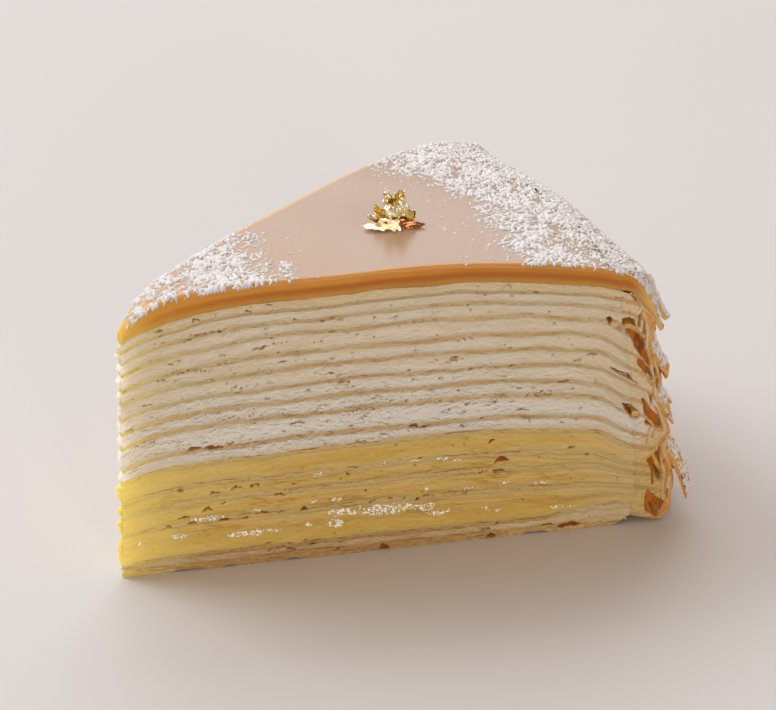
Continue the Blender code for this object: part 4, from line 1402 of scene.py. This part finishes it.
def top_sugar(table, sizes, rng):
    """The sugar on the glaze: a crust of grains over its top and down its hanging edge."""
    spacing = sizes.sugar_mesh
    half_width = 108.0 * math.sin(HALF_ANGLE)
    shape = (int(107.0 / spacing), int(2 * half_width / spacing))
    x = (np.arange(shape[0]) * spacing)[:, None] + np.zeros(shape)
    y = (np.arange(shape[1]) * spacing - half_width)[None, :] + np.zeros(shape)
    radius, angle = np.hypot(x, y), np.arctan2(y, x)
    share = np.clip((angle / HALF_ANGLE + 1.0) / 2.0, 0.0, 1.0)
    even = np.linspace(0.0, 1.0, table.shape[1])
    column = np.interp(share, crowded(even), np.arange(table.shape[1]))
    i = np.clip((radius / GLAZE_GRID).astype(int), 0, len(table) - 2)
    j = np.clip(column.astype(int), 0, table.shape[1] - 2)
    a, b = radius / GLAZE_GRID - i, column - j
    height = (table[i, j] * (1 - a) + table[i + 1, j] * a) * (1 - b)
    height = height + (table[i, j + 1] * (1 - a) + table[i + 1, j + 1] * a) * b
    past = np.abs(y) - x * math.tan(HALF_ANGLE)
    height = np.where(past < 0.25, height, np.nan)
    count = int(sizes.sugar_grains)
    places = np.stack([rng.uniform(3.0, 106.0, count), rng.uniform(-half_width, half_width, count)], -1)
    chance = sugar_cover(places[:, 0], places[:, 1])
    chance = chance * eased((97.0 - np.hypot(places[:, 0], places[:, 1])) / 2.5)
    on_top = np.abs(places[:, 1]) < places[:, 0] * math.tan(HALF_ANGLE) + 0.1
    kept = (rng.uniform(0.0, 1.0, count) < chance) & on_top
    places, chance = places[kept] + (0.0, half_width), np.clip(chance[kept], 0.0, 1.0)
    radii = rng.uniform(0.15, 0.3, len(places)) + 0.22 * rng.uniform(0.0, 1.0, len(places)) ** 3 * chance
    bases = rng.uniform(-0.08, 0.3, len(places)) * chance
    field = stamped(shape, spacing, places, radii, bases)
    return crust(np.stack([x, y, height], -1), field, rng)


# The hanging edges that carry sugar: how much of each is covered, and the share at its root that is bare
SUGARED_EDGES = (("crepe_14", 0.95, 0.3), ("crepe_12", 0.85, 0.2), ("crepe_08", 1.05, 0.15))
SUGARED_LIP = (1.2, -0.2)
EDGE_SUGAR_MESH, LIP_SUGAR_MESH = 0.29, 0.22


def skirt_sugar(surface, spacing, cover, bare, rng):
    """The sugar that clings to the outside of one hanging edge."""
    rows = np.linalg.norm(np.diff(surface, axis=0), axis=-1).mean(axis=1)
    long = np.concatenate([[0.0], np.cumsum(rows)])
    wide = np.concatenate([[0.0], np.cumsum(np.linalg.norm(np.diff(surface, axis=1), axis=-1).mean(axis=0))])
    u, v = np.arange(0.0, long[-1], spacing), np.arange(0.0, wide[-1], spacing)
    fine = np.stack([
        np.stack([np.interp(u, long, surface[:, column, part]) for column in range(surface.shape[1])], 1)
        for part in range(3)
    ], -1)
    fine = np.stack([
        np.stack([np.interp(v, wide, fine[row, :, part]) for row in range(len(u))], 0) for part in range(3)
    ], -1)
    count = int(long[-1] * wide[-1] * 5.0)
    places = np.stack([rng.uniform(0.0, long[-1], count), rng.uniform(0.0, wide[-1], count)], -1)
    chance = cover * (0.6 + 0.6 * rough(places[:, 0] / 2.4, places[:, 1] / 2.4, 4.0, SEED + 80, 2))
    edge = np.minimum(places[:, 1], wide[-1] - places[:, 1])
    chance = chance * eased((places[:, 0] / long[-1] - bare) / 0.25) * eased(edge / 0.3 + 0.3)
    places = places[rng.uniform(0.0, 1.0, count) < chance]
    radii = rng.uniform(0.15, 0.38, len(places))
    field = stamped((len(u), len(v)), spacing, places, radii, rng.uniform(-0.08, 0.12, len(places)))
    return crust(fine, field, rng)


# ---------------------------------------------------------------- gold leaf
LEAF_PLACE, LEAF_TURN = (57.8, -1.75), math.radians(-30.0)
LEAF_FLAPS = (
    # root, end, half width at the middle, crumple: across, away and up from the middle of the leaf
    ((0.9, -1.3, 0.6), (-5.4, -1.2, 0.4), (0.1, -1.6, -0.1), 0.12),
    ((-0.9, 0.6, 0.2), (-3.2, 0.9, 3.5), (1.4, -0.2, 0.5), 0.5),
    ((0.2, -1.2, 0.5), (-0.7, 0.9, 3.2), (0.95, -0.1, 0.1), 0.45),
    ((-0.9, 0.8, 2.8), (-1.3, 1.3, 6.2), (1.0, 0.1, 0.1), 0.4),
    ((0.8, 0.6, 1.8), (1.2, 1.1, 6.2), (1.5, -0.3, 0.0), 0.55),
    ((1.0, 0.0, 0.2), (1.7, 0.7, 4.0), (2.0, -0.4, 0.1), 0.55),
    ((2.5, 0.2, 0.5), (4.0, 0.5, 2.7), (0.9, -0.3, 0.4), 0.35),
    ((1.8, -0.9, 0.7), (4.2, -0.7, 1.2), (0.1, -0.6, 0.5), 0.2),
    ((1.0, -1.0, 0.75), (5.6, -0.7, 0.7), (0.1, -0.35, -0.7), 0.2),
    ((0.5, -1.1, 0.8), (1.3, -2.5, 0.15), (0.4, 0.1, 0.2), 0.1),
    ((0.0, 1.2, 0.2), (0.2, 2.7, 3.2), (2.4, 0.1, 0.3), 0.55),
    ((-2.0, 0.4, 0.3), (-4.5, 0.5, 1.6), (0.4, -0.5, 0.8), 0.3),
    ((0.6, -1.0, 0.9), (-2.2, -0.6, 1.5), (0.3, -0.6, 0.6), 0.25),
)
# Flaps painted with highlights, and a flap painted in shadow.
HIGHLIGHT_FLAPS, SHADED_FLAPS = (0, 2, 7, 9, 12), (8,)
FLAP_LENGTH_STEPS, FLAP_WIDTH_STEPS, LEAF_THICKNESS = 26, 18, 0.07


def leaf_flap(root, end, side, crumple, seed):
    """One flap of the leaf: a torn, crumpled sheet from its root to its end."""
    root, end, side = (np.array(corner, float) for corner in (root, end, side))
    axis = end - root
    normal = np.cross(axis, side)
    normal /= np.linalg.norm(normal)
    u = np.linspace(0.0, 1.0, FLAP_LENGTH_STEPS)[:, None]
    v = np.linspace(-1.0, 1.0, FLAP_WIDTH_STEPS)[None, :]
    length = np.linalg.norm(axis)
    width = np.minimum(1.0, 0.55 + 4.0 * u) * np.maximum(0.0, 1.02 - u**3.5) ** 0.6
    width = width * (1.0 + 0.35 * lumps(u * length / 0.7, np.sign(v) * 2.0, seed, SEED + 90))
    stretch = 1.0 + 0.16 * lumps(v * 2.2, 0.0, seed, SEED + 91)
    points = root + axis * (u * stretch)[..., None] + side * (v * width)[..., None]
    x, y = u * length, v * np.linalg.norm(side)
    folds = 1.0 - 2.0 * np.abs(lumps(x / 1.5, y / 1.1, seed * 2.3, SEED + 92))
    creases = 1.0 - 2.0 * np.abs(lumps(x / 0.6, y / 0.55, seed * 1.9, SEED + 93))
    points = points + normal * (crumple * (0.8 * folds + 0.2 * creases) * (0.3 + 0.7 * u))[..., None]
    across, along = np.gradient(points, axis=1), np.gradient(points, axis=0)
    way = np.cross(along, across)
    way /= np.linalg.norm(way, axis=-1, keepdims=True) + 1e-9
    return np.stack([points - way * LEAF_THICKNESS / 2.0, points + way * LEAF_THICKNESS / 2.0], 2)


# ---------------------------------------------------------------- settings
def colour(name, value, note):
    return bpy.props.FloatVectorProperty(
        name=name, description=note, default=linear(value), subtype="COLOR", min=0.0, max=1.0
    )


def number(name, value, note, low=0.0, high=1.0e6):
    return bpy.props.FloatProperty(name=name, description=note, default=value, min=low, max=high)


class CakeSizes(bpy.types.PropertyGroup):
    """Sizes of what the solid model leaves out, in millimetres where they are lengths"""

    tear_count: bpy.props.IntProperty(name="Tears", description="Small tears in the cut faces", default=420)
    glaze_edge: number("Glaze edge", 0.6, "Radius of the glaze's edge along a cut, in millimetres")
    sugar_mesh: number("Sugar mesh", 0.2, "Spacing of the sugar's mesh, in millimetres", 0.1)
    sugar_grains: bpy.props.IntProperty(name="Grains", description="Sugar grains tried on top", default=64000)


class CakeColours(bpy.types.PropertyGroup):
    """Colours of the cake's parts"""

    cream: colour("Cream", (0.93, 0.885, 0.81), "Vanilla cream")
    cream_shade: colour("Cream shade", (0.90, 0.835, 0.72), "Vanilla cream where it is thinner")
    cream_white: colour("Cream white", (0.94, 0.925, 0.90), "Airy vanilla cream, low in the stack")
    # Painted highlights: the white laid over lit crumbs, bright flecks and drops of syrup on the cut faces.
    highlight_white: colour("Fleck", (0.98, 0.965, 0.93), "Bubbles and drops that catch the light")
    custard: colour("Custard", (0.90, 0.78, 0.47), "Custard")
    custard_deep: colour("Deep custard", (0.86, 0.72, 0.36), "Custard where it is denser")
    custard_bright: colour("Bright custard", (0.93, 0.80, 0.40), "Custard near the plate")
    crepe: colour("Crepe", (0.80, 0.64, 0.42), "Cut edge of a crepe")
    crepe_pale: colour("Pale crepe", (0.91, 0.81, 0.65), "Crepe soaked with cream")
    crepe_soaked: colour("Soaked crepe", (0.905, 0.77, 0.52), "Crepe between layers of custard")
    streak: colour("Streak", (0.90, 0.75, 0.46), "Custard soaked into crepe")
    crepe_base: colour("Base crepe", (0.77, 0.60, 0.40), "Crepes under the slice")
    skin: colour("Crepe skin", (0.91, 0.75, 0.49), "Outside of a crepe")
    golden: colour("Golden crepe", (0.875, 0.655, 0.36), "Golden patches of a crepe's skin")
    browned: colour("Browned crepe", (0.70, 0.44, 0.18), "Browned patches")
    underside: colour("Crepe underside", (0.84, 0.56, 0.25), "Inner side of a hanging edge")
    # Also painted shade: under the cut faces' crumbs and in tears.
    crack_and_shade: colour("Crack", (0.61, 0.40, 0.125), "Thin cracks in the cream")
    # Also painted shade: under the custard's crumbs and in its tears.
    rust_and_shade: colour("Rust", (0.64, 0.33, 0.07), "Inside a tear in the custard")
    # Also painted shade: low on the cut faces between the tip and the rim, and under the crepes' crumbs.
    torn: colour("Torn crepe", (0.66, 0.42, 0.17), "Edges of tears and hollows")
    # Painted shade: the depths of tears and hollows, and the gold flap put in shadow.
    hollow: colour("Hollow", (0.63, 0.30, 0.045), "Depths of tears and hollows")
    speck: colour("Speck", (0.25, 0.15, 0.08), "Vanilla specks")
    glow: colour("Tip glow", (0.93, 0.845, 0.44), "Light through the custard at the tip")
    through: colour("Light through crepe", (0.95, 0.55, 0.14), "Light through the thin crepes at the rim")
    glow_cream: colour("Tip glow, cream", (0.98, 0.95, 0.88), "Light through the cream at the tip")
    glaze: colour("Glaze", (0.85, 0.615, 0.27), "Caramel glaze")
    glaze_deep: colour("Deep glaze", (0.735, 0.455, 0.20), "Caramel glaze where it is thick")
    glaze_foot: colour("Glaze foot", (0.83, 0.60, 0.305), "Caramel glaze where it meets the cream")
    # Painted light through the thin glaze near the tip.
    glaze_glow: colour("Thin glaze", (0.93, 0.65, 0.25), "Caramel glaze near the tip")
    # Paler and pinker than the cut glaze: partly painted reflection of the pale surroundings on the glaze's
    # top.
    glaze_top: colour("Glaze top", (0.657, 0.513, 0.40), "Caramel glaze seen from above")
    gold: colour("Gold", (0.95, 0.83, 0.43), "Gold leaf")
    # Painted highlight on the gold.
    gold_highlight: colour("Pale gold", (1.0, 0.97, 0.86), "Gold leaf where it shines")
    # Painted shade in the gold's creases.
    gold_crease_shade: colour("Dark gold", (0.50, 0.31, 0.06), "Gold leaf in its creases")
    sugar: colour("Sugar", (0.94, 0.925, 0.93), "Icing sugar")
    sugar_shade: colour("Sugar shade", (0.90, 0.875, 0.88), "Icing sugar, finer")
    floor: colour("Table", (0.838, 0.82, 0.82), "Table top")
    floor_shade: colour("Table shade", (0.83, 0.81, 0.808), "Table top, uneven")


class StudioSettings(bpy.types.PropertyGroup):
    """Camera and light"""

    azimuth: bpy.props.FloatProperty(
        name="Azimuth", description="Where the camera stands round the slice", subtype="ANGLE",
        default=math.radians(-29.96),
    )
    elevation: bpy.props.FloatProperty(
        name="Elevation", description="How far the camera looks down", subtype="ANGLE",
        default=math.radians(30.33),
    )
    distance: bpy.props.FloatProperty(
        name="Distance", description="From the camera to its aim", unit="LENGTH", default=600.6 * MM
    )
    lens: number("Lens", 147.6, "Focal length in millimetres, for a 36 mm sensor", 10.0)
    aim_out: number("Aim, out", 57.76, "How far out from the tip the camera aims, in millimetres")
    aim_up: number("Aim, up", 31.26, "How high the camera aims, in millimetres")
    sky: number("Surrounding light", 0.48, "Brightness of the light from all round")
    sky_tint: colour("Surrounding colour", (1.0, 0.92, 0.83), "Colour of the light from all round")
    window: number("Window", 2.1, "Brightness of the broad window that the glaze and the leaf mirror")
    key: number("Key light", 7.1, "Brightness of the light behind the slice, on the left")
    bounce: number("Bounce card", 17.2, "Brightness of the low card in front of the slice")


# ---------------------------------------------------------------- operators
class BuildStep(bpy.types.Operator):
    """One step of dressing the slice"""

    bl_options = {"REGISTER", "UNDO"}

    def finish_step(self, made):
        if not made:
            raise RuntimeError(f"{self.bl_label} made nothing")
        return {"FINISHED"}


class CAKE_OT_fillings(BuildStep):
    """Build every layer of vanilla cream and custard"""

    bl_idname = "cake.fillings"
    bl_label = "Cream and custard"

    def execute(self, context):
        cake = context.scene.cake_sizes
        colours = context.scene.cake_colours
        finishes = {"cream": cream_material(colours), "custard": custard_material(colours)}
        tears = tear_list(cake)
        made = []
        for name, kind, seam in layers():
            if kind in finishes:
                part = filled_part(kind, seam, tears)
                made.append(make_piece(f"{name}_cut", *part, finishes[kind], kind, [name]))
        return self.finish_step(made)


class CAKE_OT_crepes(BuildStep):
    """Build every crepe, with its hanging or curled edge at the rim"""

    bl_idname = "cake.crepes"
    bl_label = "Crepes"

    def execute(self, context):
        finish = crepe_material(context.scene.cake_colours)
        tears = tear_list(context.scene.cake_sizes)
        angle = np.linspace(-HALF_ANGLE, HALF_ANGLE, SKIRT_COLUMNS)
        made = []
        for name, kind, seam in layers():
            if kind != "crepe":
                continue
            parts = [filled_part(kind, seam, tears)]
            shape = HANGING.get(name)
            if name == FOLDED_CREPE:
                parts.append(rim_folds())
            if shape:
                level = (seam_level(seam) + seam_level(seam + 1)) / 2.0
                radius = rim_radius(level)
                height = sagged(radius, angle, level)
                mesh, SURFACES[name] = skirt_part(radius, height, angle, shape, seam)
                parts.append(mesh)
            made.append(make_piece(f"{name}_sheet", *joined(parts), finish, "crepe", [name]))
        return self.finish_step(made)


class CAKE_OT_glaze(BuildStep):
    """Build the caramel glaze"""

    bl_idname = "cake.glaze"
    bl_label = "Glaze"

    def execute(self, context):
        points, rise, hung = glaze_lattice(context.scene.cake_sizes)
        used, faces = block(points)
        radius = np.hypot(points[..., 0], points[..., 1])
        turn = np.arctan2(points[..., 1], points[..., 0])
        laid = np.stack([radius, GLAZE_FOOT + GLAZE_THICKNESS * rise + turn * 60.0, 0.0 * radius], -1)
        from_cut = radius * np.sin(np.maximum(HALF_ANGLE - np.abs(turn), 0.0))
        near_cut = hill(from_cut, 1.1) * np.sign(turn)
        look = np.stack([rise + 0.0 * radius, near_cut, hung[..., None] + 0.0 * radius], -1)
        piece = make_piece(
            "caramel_glaze", points.reshape(-1, 3)[used], faces.tolist(), laid.reshape(-1, 3)[used],
            look.reshape(-1, 3)[used], glaze_material(context.scene.cake_colours), "glaze", ["glaze"],
        )
        SURFACES["glaze"] = glaze_outside(points)
        SURFACES["lip"] = points[GLAZE_STEPS - 4:, :, -1]
        return self.finish_step(piece)


class CAKE_OT_gold_leaf(BuildStep):
    """Build the crumpled flake of gold leaf"""

    bl_idname = "cake.gold_leaf"
    bl_label = "Gold leaf"

    def execute(self, context):
        parts = []
        radius, angle = math.hypot(*LEAF_PLACE), math.atan2(LEAF_PLACE[1], LEAF_PLACE[0])
        foot = float(glaze_top(np.array(radius), np.array(angle)))
        cosine, sine = math.cos(LEAF_TURN), math.sin(LEAF_TURN)
        for seed, flap in enumerate(LEAF_FLAPS):
            lattice = leaf_flap(*flap, seed)
            used, faces = block(lattice)
            spots = lattice.reshape(-1, 3)[used]
            spots[:, 2] = np.maximum(spots[:, 2], 0.05)
            x, y = spots[:, 0].copy(), spots[:, 1].copy()
            spots[:, 0] = LEAF_PLACE[0] + x * cosine - y * sine
            spots[:, 1] = LEAF_PLACE[1] + x * sine + y * cosine
            spots[:, 2] += foot
            # Which flaps carry painted highlight and which painted shade.
            light_and_shade = spots * 0.0 + (seed in HIGHLIGHT_FLAPS, seed in SHADED_FLAPS, 0.0)
            parts.append((spots, faces.tolist(), light_and_shade, spots * 0.0))
        finish = leaf_material(context.scene.cake_colours)
        return self.finish_step(make_piece("gold_flake", *joined(parts), finish, "gold_leaf", ["gold_leaf"]))


class CAKE_OT_sugar(BuildStep):
    """Dust the tip, the rim and the hanging edges with icing sugar"""

    bl_idname = "cake.sugar"
    bl_label = "Icing sugar"

    def execute(self, context):
        sizes = context.scene.cake_sizes
        rng = np.random.default_rng(SEED)
        heaps = [top_sugar(SURFACES["glaze"], sizes, rng)]
        for name, cover, bare in SUGARED_EDGES:
            heaps.append(skirt_sugar(SURFACES[name], EDGE_SUGAR_MESH, cover, bare, rng))
        heaps.append(skirt_sugar(SURFACES["lip"], LIP_SUGAR_MESH, *SUGARED_LIP, rng))
        parts = [(points, faces, points, points * 0.0) for points, faces in heaps]
        finish = sugar_material(context.scene.cake_colours)
        return self.finish_step(make_piece("icing_sugar", *joined(parts), finish, "sugar"))


def area_light(name, place, aim, size, strength, tint):
    data = bpy.data.lights.new(name, "AREA")
    data.shape = "RECTANGLE"
    data.size, data.size_y = size
    data.energy = strength * size[0] * size[1] * math.pi
    data.color = tint
    lamp = bpy.data.objects.new(name, data)
    bpy.context.scene.collection.objects.link(lamp)
    lamp.location = place
    lamp.rotation_euler = (Vector(aim) - Vector(place)).to_track_quat("-Z", "Y").to_euler()
    return lamp


def direction(azimuth, elevation):
    """The way from the slice to something at this azimuth, as the camera's is counted, and elevation."""
    level = math.cos(elevation)
    return Vector((math.sin(azimuth) * level, -math.cos(azimuth) * level, math.sin(elevation)))


class CAKE_OT_stage(BuildStep):
    """Set up the table, the light and the camera"""

    bl_idname = "cake.stage"
    bl_label = "Stage"

    def execute(self, context):
        scene, studio = context.scene, context.scene.cake_studio
        aim = Vector((studio.aim_out + TIP_X, TIP_Y, studio.aim_up)) * MM
        bpy.ops.mesh.primitive_grid_add(x_subdivisions=8, y_subdivisions=8, size=6.0)
        floor = context.object
        floor.name = "table_top"
        floor.data.materials.append(floor_material(scene.cake_colours))
        floor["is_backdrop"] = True
        for name, azimuth, elevation, far, size, strength, tint in (
            ("window", 157.0, 41.0, 8.0, (7.4, 6.8), studio.window, (0.86, 0.93, 1.0)),
            ("key", 217.0, 46.0, 1.8, (0.95, 0.95), studio.key, (0.84, 0.91, 0.98)),
            ("bounce", -10.0, 14.0, 2.4, (0.35, 0.5), studio.bounce, (1.0, 0.955, 0.90)),
        ):
            way = direction(math.radians(azimuth), math.radians(elevation))
            area_light(name, aim + way * far, aim, size, strength, tint)
        world = scene.world or bpy.data.worlds.new("studio")
        scene.world = world
        world.use_nodes = True
        sky = world.node_tree.nodes["Background"]
        sky.inputs["Color"].default_value = (*studio.sky_tint, 1.0)
        sky.inputs["Strength"].default_value = studio.sky
        data = bpy.data.cameras.new("camera")
        data.lens, data.sensor_width = studio.lens, 36.0
        camera = bpy.data.objects.new("camera", data)
        scene.collection.objects.link(camera)
        way = direction(studio.azimuth, studio.elevation)
        camera.location = aim + way * studio.distance
        camera.rotation_euler = (-way).to_track_quat("-Z", "Y").to_euler()
        scene.camera = camera
        scene.view_settings.view_transform = "Standard"
        return self.finish_step(floor)


SURFACES = {}  # what the crepes and the glaze leave for the sugar to lie on
STEPS = (CAKE_OT_fillings, CAKE_OT_crepes, CAKE_OT_glaze, CAKE_OT_gold_leaf, CAKE_OT_sugar, CAKE_OT_stage)


class CAKE_PT_panel(bpy.types.Panel):
    """Lists the steps of dressing the slice"""

    bl_label = "Crepe cake"
    bl_idname = "CAKE_PT_panel"
    bl_space_type = "VIEW_3D"
    bl_region_type = "UI"
    bl_category = "Cake"

    def draw(self, context):
        for settings in (context.scene.cake_sizes, context.scene.cake_colours, context.scene.cake_studio):
            box = self.layout.box()
            for key in settings.__annotations__:
                box.prop(settings, key)
        for step in STEPS:
            self.layout.operator(step.bl_idname)


CLASSES = (CakeSizes, CakeColours, StudioSettings, *STEPS, CAKE_PT_panel)


def register():
    for cls in CLASSES:
        bpy.utils.register_class(cls)
    bpy.types.Scene.cake_sizes = bpy.props.PointerProperty(type=CakeSizes)
    bpy.types.Scene.cake_colours = bpy.props.PointerProperty(type=CakeColours)
    bpy.types.Scene.cake_studio = bpy.props.PointerProperty(type=StudioSettings)


def unregister():
    for key in ("cake_studio", "cake_colours", "cake_sizes"):
        delattr(bpy.types.Scene, key)
    for cls in reversed(CLASSES):
        bpy.utils.unregister_class(cls)


def main():
    register()
    specks_group()
    cut_face_group()
    tip_glow_group()
    for step in STEPS:
        group, action = step.bl_idname.split(".")
        getattr(getattr(bpy.ops, group), action)()
    boxes = {"cad": CAD_BOX, "visual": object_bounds()}
    {key: [list(corner) for corner in box] for key, box in boxes.items()}


if __name__ == "__main__":
    main()
